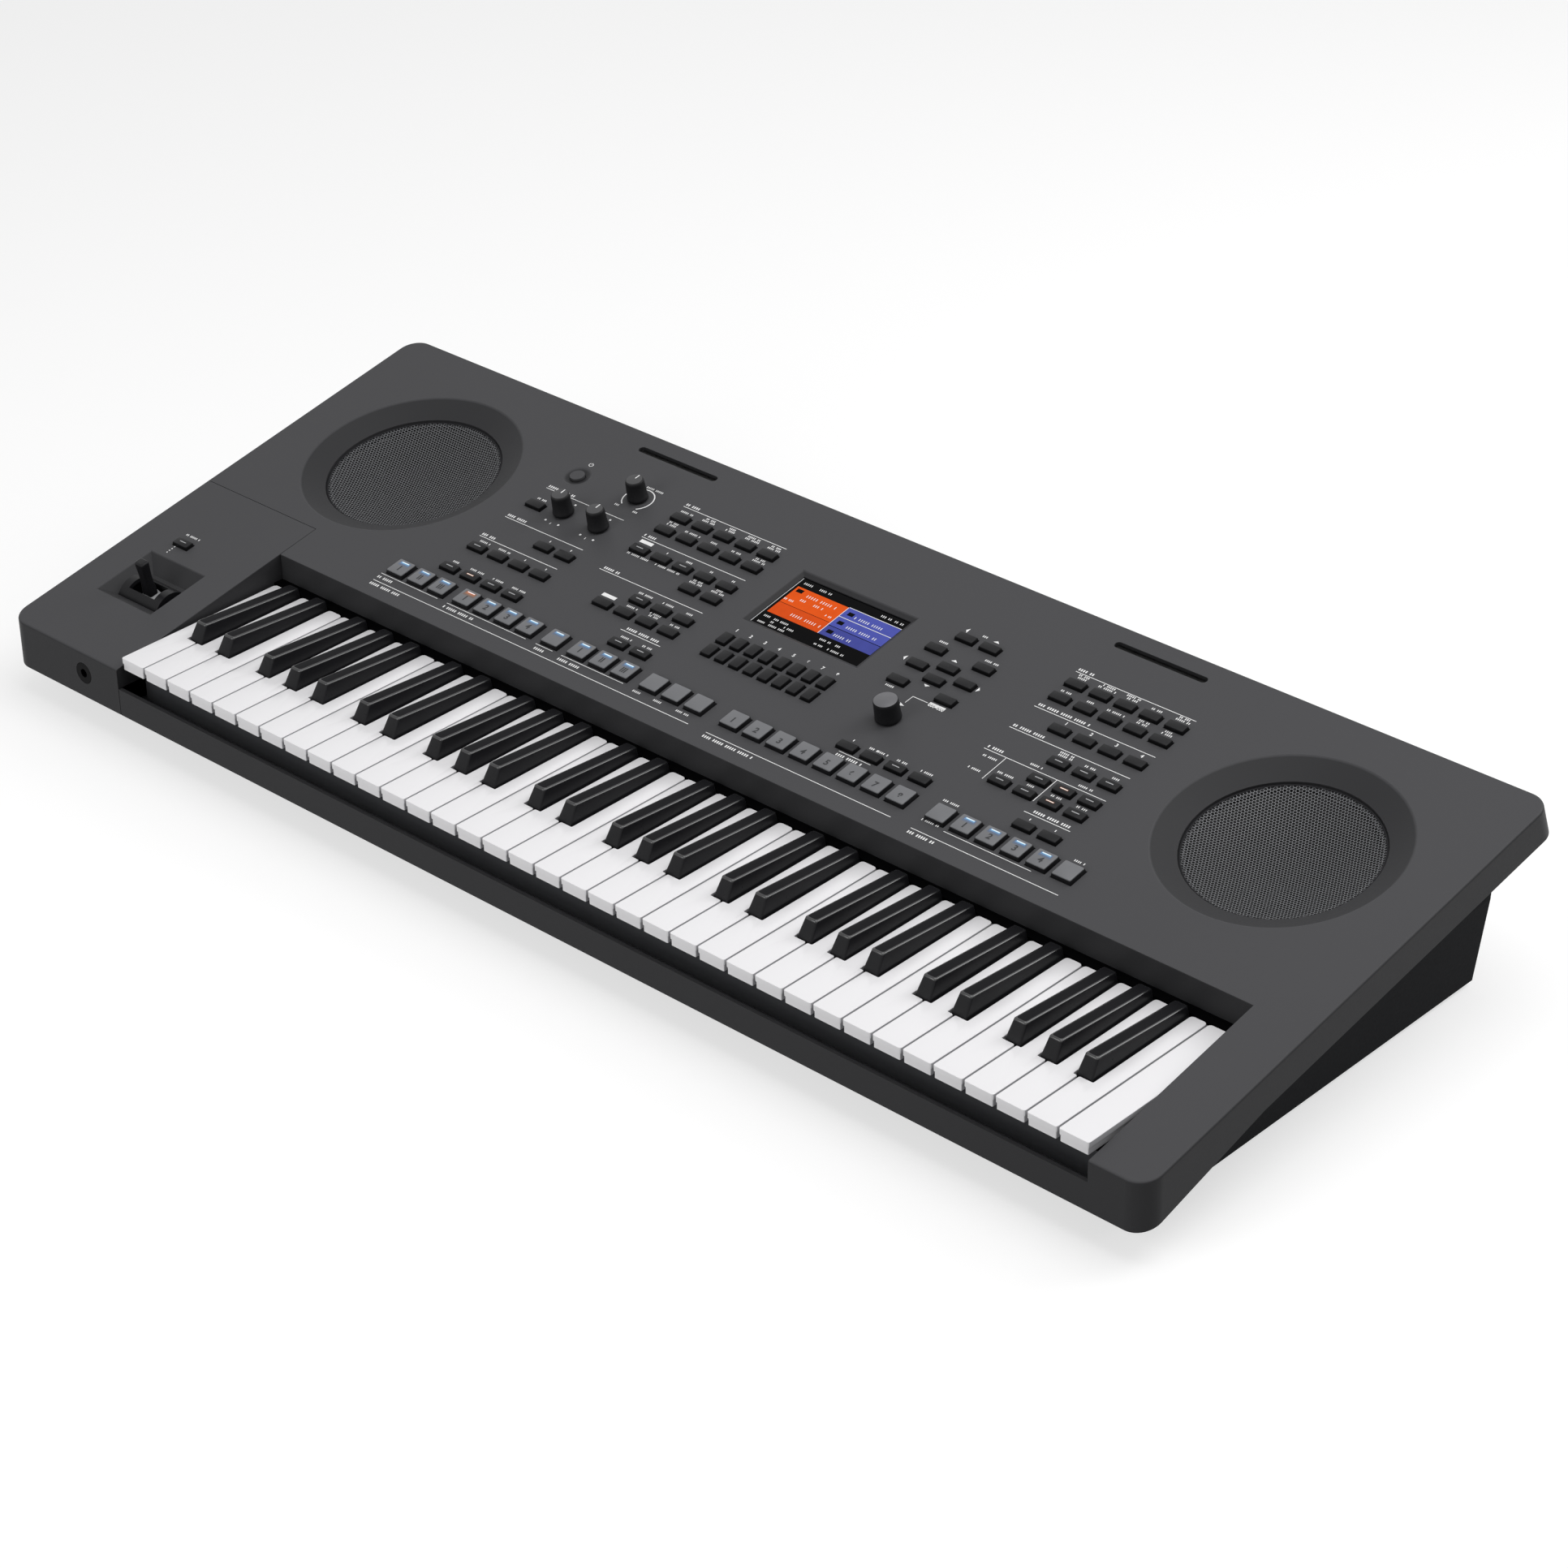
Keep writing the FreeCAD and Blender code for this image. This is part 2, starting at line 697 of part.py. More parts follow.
def knobs_and_pots():
    """Rotary knobs on their shafts, the control bodies that carry them, and the panel holes."""
    holes = []
    pots = []
    for name, (x, slope, kind) in KNOBS.items():
        cap = cone(name + "_cap", x, slope, "knob_lift", kind + "_base_radius", kind + "_top_radius",
                   kind + "_height")
        shaft = cylinder(name + "_shaft", x, slope, "knob_lift - shaft_length", "shaft_radius",
                         "shaft_length + 2")
        node(on_panel(fuse(name, cap, shaft)), name)
        holes.append(cylinder(name + "_hole", x, slope, "0 - case_wall - 1",
                              "shaft_radius + 2 * shaft_clearance", "case_wall + 2"))
        body = centred_box(name + "_body", x, slope, BOARD_TOP, "pot_size", "pot_size", "pot_height")
        bore = cylinder(name + "_bore", x, slope, BOARD_TOP, "shaft_radius + shaft_clearance",
                        "pot_height + 1")
        pots.append(cut(name + "_pot", body, bore))
    node(on_panel(group("control_pots", pots)), "control_pots")
    return holes


def power_button():
    """Round power button in a shallow dish; gives back the cuts in the panel."""
    under = "(case_wall + button_flange_play + button_flange)"
    cap = cylinder("power_cap", "power_x", "power_row", "0 - %s" % under, "power_radius",
                   "power_height + %s" % under)
    flange = cylinder("power_flange", "power_x", "power_row", "0 - %s" % under,
                      "power_radius + button_flange_lip", "button_flange")
    stem = cylinder("power_stem", "power_x", "power_row", "0 - button_stem", "power_radius / 2",
                    "button_stem - 1")
    node(on_panel(fuse("power_button", cap, flange, stem)), "power_button")
    hole = cylinder("power_hole", "power_x", "power_row", "0 - case_wall - 1",
                    "power_radius + button_clearance", "case_wall + 2")
    ball = "((power_dish_radius ^ 2 + power_dish_depth ^ 2) / (2 * power_dish_depth))"
    dish = doc.addObject("Part::Sphere", "power_dish")
    bind(dish, Radius=ball)
    locate(dish, "power_x", "power_row", "%s - power_dish_depth" % ball)
    return [hole, dish]


def display():
    """Window and display module behind the bevelled opening; gives back the cuts in the panel."""
    def face(width, length):
        return ("display_x - %s / 2" % width, "display_x + %s / 2" % width,
                "display_row - %s / 2" % length, "display_row + %s / 2" % length)
    bevel = taper("bezel", face("screen_width", "screen_length"), face("bezel_width", "bezel_length"),
                  "0 - bezel_depth", "bezel_depth")
    through = centred_box("screen_opening", "display_x", "display_row", "0 - case_wall - 1", "screen_width",
                          "screen_length", "case_wall + 1")
    window = centred_box("window_pane", "display_x", "display_row", "0 - case_wall - window_thickness",
                         "screen_width + 2 * window_border", "screen_length + 2 * window_border",
                         "window_thickness")
    node(on_panel(group("display_window", [window])), "display_window")
    module = centred_box("module_body", "display_x", "display_row",
                         "0 - case_wall - window_thickness - module_thickness",
                         "screen_width + 2 * module_border", "screen_length + 2 * module_border",
                         "module_thickness")
    node(on_panel(group("display_module", [module])), "display_module")
    return [bevel, through]


def music_slots():
    """Two round-ended slots along the rear of the panel for the music rest's feet."""
    tools = []
    for side in (-1, 1):
        x = "%d * music_slot_spacing / 2" % side
        straight = "(music_slot_length - music_slot_width)"
        tools.append(centred_box("music_slot_%d" % side, x, "music_slot_row", "0 - case_wall - 1", straight,
                                 "music_slot_width", "case_wall + 2"))
        for end in (-1, 1):
            end_x = "%s + %d * %s / 2" % (x, end, straight)
            tools.append(cylinder("music_slot_end_%d_%d" % (side, end), end_x, "music_slot_row",
                                  "0 - case_wall - 1", "music_slot_width / 2", "case_wall + 2"))
    return tools


def rim_screw_places():
    """(x, slope) of the bosses that the lower case's flange is screwed to."""
    side = "(case_width / 2 - case_wall - 2.5 * boss_radius)"
    rear = "(%s / cos(panel_angle) - case_wall - 2.5 * boss_radius)" % REAR_TOP
    spots = []
    for sign in (-1, 1):
        spots += [("%d * %s" % (sign, side), "rim_kink + 4 * boss_radius"),
                  ("%d * %s" % (sign, side), "left_panel_length + 4 * boss_radius"),
                  ("%d * %s" % (sign, side), rear), ("%d * case_width / 6" % sign, rear)]
    return spots


def board_span(board):
    """The two x places of a panel board's posts."""
    return ["%s_start + board_post_inset" % board, "%s_end - board_post_inset" % board]


def panel_posts():
    """Posts under the panel: for its boards, and hollow bosses for the case screws."""
    posts = []
    for board in PANEL_BOARDS:
        for k, x in enumerate(board_span(board)):
            for slope in ("board_post_row_front", "board_post_row_rear"):
                posts.append(cylinder("%s_post_%d" % (board, k), x, slope, BOARD_TOP, "board_post_radius",
                                      "board_depth - case_wall / 2"))
    bosses = []
    bores = []
    for k, (x, slope) in enumerate(rim_screw_places()):
        bosses.append(cylinder("boss_%d" % k, x, slope, FLANGE_LIFT, "boss_radius",
                               "0 - case_wall / 2 - %s" % FLANGE_LIFT))
        bores.append(cylinder("boss_bore_%d" % k, x, slope, "%s - 1" % FLANGE_LIFT,
                              "screw_radius + screw_clearance", "13"))
    return posts + bosses, bores


def upper_case():
    """The top moulding and the separate left control panel, cut from one skin along the seam."""
    shell = upper_case_shell()
    posts, bores = panel_posts()
    holes, switches = panel_buttons()
    cups = []
    cuts = bores + holes + knobs_and_pots() + power_button() + display() + music_slots()
    for side in (-1, 1):
        cup, tools = dish_cups(side)
        cups.append(cup)
        cuts += tools
    cup, tools = joystick_well()
    cups.append(cup)
    cuts += tools
    added = on_panel(group("panel_ribs", posts + cups))
    slot_walls = common("slot_walls", key_slot_walls(), doc.getObject("case_rim"))
    body = fuse("case_body", shell, added, slot_walls)
    phones = cylinder("phones_hole", "phones_x", "phones_height", "0 - 2 * case_wall",
                      "jack_radius + socket_clearance", "3 * case_wall")
    openings = [on_panel(group("panel_cuts", cuts)), on_front(group("front_cuts", [phones]))]
    body = cut("case_opened", body, *(openings + key_slot_opening()))
    edge = "(key_offset - %s / 2 + case_width)" % KEY_SLOT

    def left_region(name, gap):
        """The block of the case that the left control panel fills."""
        return on_panel(group(name, [box(name + "_block", "0 - case_width", "0 - case_depth",
                                         "0 - 2 * case_depth", "%s + %s" % (edge, gap),
                                         "case_depth + left_panel_length + %s" % gap, "3 * case_depth")]))
    node(common("left_control_panel", body, left_region("left_region", 0)), "left_control_panel")
    node(cut("upper_case", body, left_region("left_region_gap", "seam_gap")), "upper_case")
    return switches


def panel_boards(places):
    """Three circuit boards under the panel, with a switch below each button."""
    block = centred_box("switch_block", 0, 0, BOARD_TOP, "switch_size", "switch_size",
                        "%s - %s" % (SWITCH_TOP, BOARD_TOP))
    switch = group("switch", [block])
    boards = []
    for board in PANEL_BOARDS:
        start = value(board + "_start")
        end = value(board + "_end")
        plate = box(board, board + "_start", "board_row_start", "%s - board_thickness" % BOARD_TOP,
                    "%s_end - %s_start" % (board, board), "board_row_end - board_row_start",
                    "board_thickness")
        mine = [copy("%s_switch_%d" % (board, k), switch, x, slope) for k, (x, slope) in enumerate(places)
                if start < doc.dims.evalExpression(formula(x).replace("dims.", "")) < end]
        boards.append(fuse(board + "_fitted", plate, *mine))
    node(on_panel(group("panel_boards", boards)), "panel_boards")


def screw(name, length):
    """A pan-head screw, head down, with its shank from z = 0 upward."""
    head = cylinder(name + "_head", 0, 0, "0 - screw_head_height", "screw_head_radius", "screw_head_height")
    shank = cylinder(name + "_shank", 0, 0, -0.5, "screw_radius", "%s + 0.5" % length)
    return fuse(name, head, shank)


def keybed_posts():
    """(x, depth) of the lower case's posts under the keybed."""
    spots = []
    for k in range(POSTS_ACROSS):
        x = "(key_offset + %g * (%s - 8 * post_radius))" % (2 * k / (POSTS_ACROSS - 1) - 1, KEYBED_HALF)
        spots += [(x, "(chin_depth + 2 * post_radius)"), (x, "(keybed_rear - 2 * post_radius)")]
    return spots


def lower_case():
    """The bottom tray with its flange under the rim, posts and socket openings, and the case screws."""
    half = "(case_width / 2 - tray_inset)"
    tray = prism("tray_skin", [
        ("chin_setback", CHIN_HEIGHT), ("chin_depth", "foot_height"), ("tray_rear_bottom", "foot_height"),
        ("tray_rear_top", rim_foot("tray_rear_top")), ("rim_kink", rim_foot("rim_kink"))], half)
    near = "(case_wall + flange_gap)"
    far = "(case_depth - case_wall - rear_overhang * case_wall / rim_height - flange_gap)"
    rise = "((%s - %s) / rim_kink)" % (rim_foot("rim_kink"), CHIN_HEIGHT)
    near_height = "(%s + %s * %s)" % (CHIN_HEIGHT, near, rise)
    thick = "(case_wall / cos(panel_angle))"
    flange = prism("flange_skin", [
        (near, near_height), ("rim_kink", rim_foot("rim_kink")), (far, rim_foot(far)),
        (far, "%s + %s" % (rim_foot(far), thick)), ("rim_kink", "%s + %s" % (rim_foot("rim_kink"), thick)),
        (near, "%s + %s" % (near_height, thick))], "case_width / 2 - case_wall - flange_gap")
    front = -value("case_depth") / 2 + value("case_wall") + value("flange_gap")
    rear = value("case_depth") / 2 - 2.5 * value("case_wall") - value("flange_gap")
    plan = box("flange_plan", "case_wall + flange_gap - case_width / 2", "%s + %s" % (FRONT, near), 0,
               "case_width - 2 * case_wall - 2 * flange_gap", "%s - %s" % (far, near), "case_depth")
    plan = rounded("flange_corners", plan, value("corner_radius"), slope_edges(front, rear))
    flange = common("flange", flange, plan)
    chin_slope = "((%s - foot_height) / (chin_depth - chin_setback))" % CHIN_HEIGHT
    chin_wall = "(case_wall * sqrt(1 + %s ^ 2))" % chin_slope
    inside = "(chin_setback + 2 * case_wall)"
    inner = prism("tray_hollow", [
        (inside, "%s - (%s - chin_setback) * %s + %s" % (CHIN_HEIGHT, inside, chin_slope, chin_wall)),
        ("chin_depth + (%s - case_wall) / %s" % (chin_wall, chin_slope), FLOOR),
        ("tray_rear_bottom - case_wall", FLOOR),
        ("tray_rear_top - case_wall", "%s + case_wall" % rim_foot("tray_rear_top")),
        ("tray_rear_top - case_wall", "%s + rim_height" % rim_foot("tray_rear_top")),
        (inside, "%s + rim_height" % rim_foot("tray_rear_top"))], "%s - tray_draft - case_wall" % half)
    draft = doc.addObject("Part::Box", "draft")
    bind(draft, Length="tray_inset", Width="2 * case_depth", Height="case_depth")
    turn(draft, (0, 1, 0), "atan(tray_draft / (rim_height + front_height))")
    locate(draft, "%s - tray_draft" % half, "0 - case_depth", "foot_height")
    far_draft = doc.addObject("Part::Mirroring", "far_draft")
    far_draft.Source = draft
    far_draft.Normal = FreeCAD.Vector(1, 0, 0)
    tray = cut("tray_drafted", tray, draft, far_draft)
    body = fuse("tray_body", tray, flange)
    posts = []
    bores = []
    screws = []
    keybed_screw = screw("keybed_screw", "keybed_height + keybed_plate - foot_height - 2 * screw_head_height")
    seat = "(foot_height + screw_head_height + 0.3)"
    for k, (x, depth) in enumerate(keybed_posts()):
        y = "%s + %s" % (FRONT, depth)
        posts.append(cylinder("post_%d" % k, x, y, "foot_height", "post_radius",
                              "keybed_height - foot_height"))
        bores.append(cylinder("post_bore_%d" % k, x, y, "foot_height - 1", "screw_radius + screw_clearance",
                              "keybed_height"))
        bores.append(cylinder("post_sink_%d" % k, x, y, "foot_height - 1", "screw_head_radius + 0.4",
                              "screw_head_height + 1.3"))
        screws.append(copy("keybed_screw_%d" % k, keybed_screw, x, y, seat))
    rim_screw = screw("rim_screw", "case_wall + 10")
    rim_bores = []
    rim_screws = []
    for k, (x, slope) in enumerate(rim_screw_places()):
        under = "%s - case_wall" % FLANGE_LIFT
        rim_bores.append(cylinder("rim_bore_%d" % k, x, slope, "%s - 4" % under,
                                  "screw_radius + screw_clearance", "case_wall + 6"))
        rim_screws.append(copy("rim_screw_%d" % k, rim_screw, x, slope, under))
    corner_x = "(%s - foot_margin)" % half
    for k, (x, depth) in enumerate(main_board_posts()):
        posts.append(cylinder("main_post_%d" % k, x, "%s + %s" % (FRONT, depth), "foot_height",
                              "post_radius", "case_wall + main_board_lift"))
    body = cut("tray_hollowed", body, inner)
    body = fuse("tray_posted", body, *posts)
    sockets = on_rear(group("socket_holes", socket_holes()))
    node(cut("lower_case", body, on_panel(group("rim_bores", rim_bores)), sockets, *bores), "lower_case")
    node(group("case_screws", screws + [on_panel(group("rim_screws", rim_screws))]), "case_screws")
    foot_rows = ("chin_depth + 2.5 * foot_radius", "tray_rear_bottom - 2.5 * foot_radius")
    feet = [cylinder("foot_%d_%d" % (i, j), "%d * %s" % (i, corner_x), "%s + %s" % (FRONT, depth), 0,
                     "foot_radius", "foot_height")
            for i in (-1, 0, 1) for j, depth in enumerate(foot_rows)]
    node(group("rubber_feet", feet), "rubber_feet")


def pivot_boss(name, middle):
    """The block under a key's tail that turns on the rod."""
    return box(name + "_boss", "(%s) - pivot_boss_width / 2" % middle, "pivot_setback - pivot_boss",
               "0 - pivot_drop - pivot_boss", "pivot_boss_width", "2 * pivot_boss",
               "pivot_drop + pivot_boss - key_tail_drop - 1")


def white_key(letter, tail_left, tail_right):
    """One hollow white key: a full-width head, a tail between the black keys and a pivot boss."""
    name = "white_" + letter
    half_gap = "key_gap / 2"
    head_length = "(black_front - black_gap)"
    middle = "((%s) + (%s)) / 2" % (tail_left, tail_right)
    left = "(%s) + %s" % (tail_left, half_gap)
    width = "((%s) - (%s) - key_gap)" % (tail_right, tail_left)
    skirt = "0 - key_depth"
    head = box(name + "_head", half_gap, 0, skirt, "key_pitch - key_gap", head_length, "key_depth")
    neck = box(name + "_neck", left, 0, skirt, width, "key_show", "key_depth")
    tail = box(name + "_tail", left, "key_show - key_wall", skirt, width, "key_tail - key_show + key_wall",
               "key_depth - key_tail_drop")
    boss = pivot_boss(name, middle)
    head_hollow = box(name + "_head_hollow", "%s + key_wall" % half_gap, "key_wall", "%s - 1" % skirt,
                      "key_pitch - key_gap - 2 * key_wall", "%s - 2 * key_wall" % head_length,
                      "key_depth - key_skin + 1")
    tail_hollow = box(name + "_tail_hollow", "%s + key_wall" % left, "key_wall", "%s - 1" % skirt,
                      "%s - 2 * key_wall" % width, "key_show - 3 * key_wall", "key_depth - key_skin + 1")
    bore = cross_cylinder(name + "_bore", -1, "pivot_setback", "0 - pivot_drop",
                          "pivot_radius + pivot_clearance", "key_pitch + 2", "x")
    solid = fuse(name + "_solid", head, neck, tail, boss)
    return cut(name, solid, head_hollow, tail_hollow, bore)


def black_key():
    """One black key about its own centre line: a tapered cap that falls rearward, a low tail and a boss."""
    half = "black_width / 2"
    top = "black_top_width / 2"
    foot = ("0 - %s" % half, half, "black_front", "black_rear")
    crown = ("0 - %s" % top, top, "black_front + black_slope", "black_rear")
    fall = "atan((black_height - black_rear_height) / (black_rear - black_front - black_slope))"
    above = box("black_above", "0 - black_width", "black_front + black_slope", "black_height",
                "2 * black_width", "2 * black_rear", "black_height")
    cap = cut("black_cap", taper("black_wedge", foot, crown, 0, "black_height"), turn(above, (-1, 0, 0), fall))
    base = box("black_base", "0 - %s" % half, "black_front", "0 - black_depth", "black_width",
               "black_rear - black_front", "black_depth")
    tail = box("black_tail", "0 - %s" % half, "black_rear - key_wall", "0 - black_depth", "black_width",
               "key_tail - black_rear + key_wall", "black_depth - key_tail_drop")
    boss = pivot_boss("black", 0)
    bore = cross_cylinder("black_bore", "0 - black_width", "pivot_setback", "0 - pivot_drop",
                          "pivot_radius + pivot_clearance", "2 * black_width", "x")
    return cut("black_key", fuse("black_solid", cap, base, tail, boss), bore)


THIRD = "(3 * key_pitch / 5)"
FOURTH = "(4 * key_pitch / 7)"
WHITE_TAILS = {"c": (THIRD, 0, 0), "d": (THIRD, 2, 1), "e": (THIRD, 4, 2),
               "f": (FOURTH, 0, 0), "g": (FOURTH, 2, 1), "a": (FOURTH, 4, 2), "b": (FOURTH, 6, 3)}
BLACK_PLACES = ["1.5 * " + THIRD, "3.5 * " + THIRD, "3 * key_pitch + 1.5 * " + FOURTH,
                "3 * key_pitch + 3.5 * " + FOURTH, "3 * key_pitch + 5.5 * " + FOURTH]


def keys():
    """Sixty-one keys in moulded sets: two interleaved white sets and a black set per octave."""
    shapes = {}
    for letter, (share, section, index) in WHITE_TAILS.items():
        left = "%d * %s - %d * key_pitch" % (section, share, index)
        shapes[letter] = white_key(letter, left, "%s + %s" % (left, share))
    shapes["top"] = white_key("top", 0, "key_pitch")
    black = black_key()
    for octave in range(OCTAVES):
        start = "(%s + %d * key_pitch)" % (KEY_LEFT, 7 * octave)
        for letters in ("cegb", "dfa"):
            name = "white_keys_%s_%d" % (letters, octave + 1)
            members = [copy("%s_%s" % (name, letter), shapes[letter],
                            "%s + %d * key_pitch" % (start, "cdefgab".index(letter)), KEY_Y, "key_top_height")
                       for letter in letters]
            node(group(name, members), name)
        name = "black_keys_%d" % (octave + 1)
        members = [copy("%s_%d" % (name, k), black, "%s + %s" % (start, place), KEY_Y, "key_top_height")
                   for k, place in enumerate(BLACK_PLACES)]
        node(group(name, members), name)
    last = copy("white_key_top_c_body", shapes["top"], "%s + %d * key_pitch" % (KEY_LEFT, WHITE_KEYS - 1),
                KEY_Y, "key_top_height")
    node(group("white_key_top_c", [last]), "white_key_top_c")


def keybed():
    """Chassis under the keys with its pivot rod, felt, contact boards and contact rubbers."""
    plate = box("keybed_base", "key_offset - %s" % KEYBED_HALF, "%s + keybed_front" % FRONT, "keybed_height",
                "2 * %s" % KEYBED_HALF, "keybed_rear - keybed_front", "keybed_plate")
    width = "(%s - 2 * felt_play)" % KEY_SLOT
    left = "(key_offset - %s / 2)" % width
    dip_at_felt = "white_dip * (pivot_setback - felt_front) / pivot_setback"
    felt_top = "(key_top_height - key_depth - %s - felt_play)" % dip_at_felt
    felt_y = "%s + felt_front" % KEY_Y
    beam = box("felt_beam", left, felt_y, KEYBED_TOP, width, "felt_width",
               "%s - felt_thickness - %s" % (felt_top, KEYBED_TOP))
    dip_at_contact = "white_dip * (pivot_setback - contact_front) / pivot_setback"
    rubber_top = "(key_top_height - key_depth - %s - felt_play)" % dip_at_contact
    board_top = "(%s - contact_rubber_height)" % rubber_top
    rails = [box("contact_rail_%d" % k, left, "%s + contact_front + %s" % (KEY_Y, shift), KEYBED_TOP, width,
                 "keybed_plate", "%s - board_thickness - %s" % (board_top, KEYBED_TOP))
             for k, shift in enumerate((0, "contact_width - keybed_plate"))]
    tab_places = ["%s + %d * key_pitch - pivot_tab / 2" % (KEY_LEFT, 7 * k) for k in range(OCTAVES + 1)]
    tab_places.append("%s + %d * key_pitch + 2 * pivot_tab" % (KEY_LEFT, WHITE_KEYS))
    tab_rise = "%s + pivot_boss / 2 - %s" % (PIVOT_Z, KEYBED_TOP)
    tabs = [box("pivot_tab_%d" % k, x, "%s + pivot_setback - pivot_boss" % KEY_Y, KEYBED_TOP, "pivot_tab",
                "2 * pivot_boss", tab_rise) for k, x in enumerate(tab_places)]
    body = fuse("keybed_solid", plate, beam, *(rails + tabs))
    rod_y = "%s + pivot_setback" % KEY_Y
    rod_start = "%s - 2 * pivot_tab" % KEY_LEFT
    rod_length = "%d * key_pitch + 6 * pivot_tab" % WHITE_KEYS
    bore = cross_cylinder("pivot_bore", rod_start + " - 1", rod_y, PIVOT_Z,
                          "pivot_radius + pivot_clearance / 3", rod_length + " + 2", "x")
    screws = [cylinder("keybed_hole_%d" % k, x, "%s + %s" % (FRONT, depth), "keybed_height - 1",
                       "screw_radius + screw_clearance", "keybed_plate + 2")
              for k, (x, depth) in enumerate(keybed_posts())]
    node(cut("key_frame", body, bore, *screws), "key_frame")
    rod = cross_cylinder("rod", rod_start, rod_y, PIVOT_Z, "pivot_radius", rod_length, "x")
    node(group("key_pivot_rod", [rod]), "key_pivot_rod")
    felt = box("felt", left, felt_y, "%s - felt_thickness" % felt_top, width, "felt_width", "felt_thickness")
    strip = box("dust_strip", left, "%s + strip_front" % KEY_Y, "key_top_height + slot_foot - strip_depth",
                width, "key_slot_depth + key_slot_wall - key_front - strip_front", "strip_depth")
    node(group("key_felts", [felt, strip]), "key_felts")
    split = "(%s - pivot_tab) / 2" % width
    boards = [box("contact_board_%d" % k, "%s + %d * (%s + pivot_tab)" % (left, k, split),
                  "%s + contact_front" % KEY_Y, "%s - board_thickness" % board_top, split, "contact_width",
                  "board_thickness") for k in (0, 1)]
    node(group("contact_boards", boards), "contact_boards")
    strip_y = "%s + contact_front + (contact_width - contact_rubber_width) / 2" % KEY_Y
    rubbers = [box("contact_rubber_%d" % k, "%s + %d * (%s + pivot_tab)" % (left, k, split), strip_y,
                   board_top, split, "contact_rubber_width", "contact_rubber_height") for k in (0, 1)]
    node(group("contact_rubbers", rubbers), "contact_rubbers")


def speakers():
    """Grilles, baskets, cones and magnets of the two speakers."""
    parts = {"speaker_grilles": [], "speaker_baskets": [], "speaker_cones": [], "speaker_magnets": []}
    seat = "(dish_depth + grille_recess + grille_thickness)"
    top = "(0 - %s - dish_wall)" % seat
    narrowing = "((speaker_opening - basket_bottom_radius) / (basket_depth - basket_wall))"
    for side, tag in ((-1, "left"), (1, "right")):
        x = "%d * speaker_spacing / 2" % side
        row = "speaker_row"
        parts["speaker_grilles"].append(cylinder("grille_" + tag, x, row, "0 - %s" % seat, "grille_radius",
                                                 "grille_thickness"))
        flange = cylinder("basket_flange_" + tag, x, row, "%s - basket_flange" % top,
                          "grille_radius + grille_play + dish_wall", "basket_flange")
        shell = cone("basket_shell_" + tag, x, row, "%s - basket_depth" % top,
                     "basket_bottom_radius + basket_wall", "speaker_opening + basket_wall", "basket_depth")
        hollow = cone("basket_hollow_" + tag, x, row, "%s - basket_depth + basket_wall" % top,
                      "basket_bottom_radius", "speaker_opening", "basket_depth - basket_wall")
        basket = fuse("basket_solid_" + tag, flange, shell)
        parts["speaker_baskets"].append(cut("basket_" + tag, basket, hollow))
        rim = "speaker_opening - cone_play - basket_wall"
        outer = cone("cone_skin_" + tag, x, row, "%s - cone_depth" % top, "cone_neck_radius", rim,
                     "cone_depth")
        inner = cone("cone_hollow_" + tag, x, row, "%s - cone_depth + cone_wall" % top,
                     "cone_neck_radius - cone_wall", "%s - cone_wall" % rim, "cone_depth - cone_wall")
        ring = cylinder("surround_" + tag, x, row, "%s - cone_wall" % top,
                        "speaker_opening - %s * cone_wall - cone_play" % narrowing, "cone_wall")
        ring_hole = cylinder("surround_hole_" + tag, x, row, "%s - 2 * cone_wall" % top,
                             "%s - cone_wall" % rim, "3 * cone_wall")
        parts["speaker_cones"].append(fuse("cone_" + tag, cut("cone_wall_" + tag, outer, inner),
                                           cut("surround_ring_" + tag, ring, ring_hole)))
        magnet = cylinder("magnet_" + tag, x, row, "%s - basket_depth - magnet_height" % top,
                          "magnet_radius", "magnet_height")
        parts["speaker_magnets"].append(magnet)
    for name, solids in parts.items():
        node(on_panel(group(name, solids)), name)


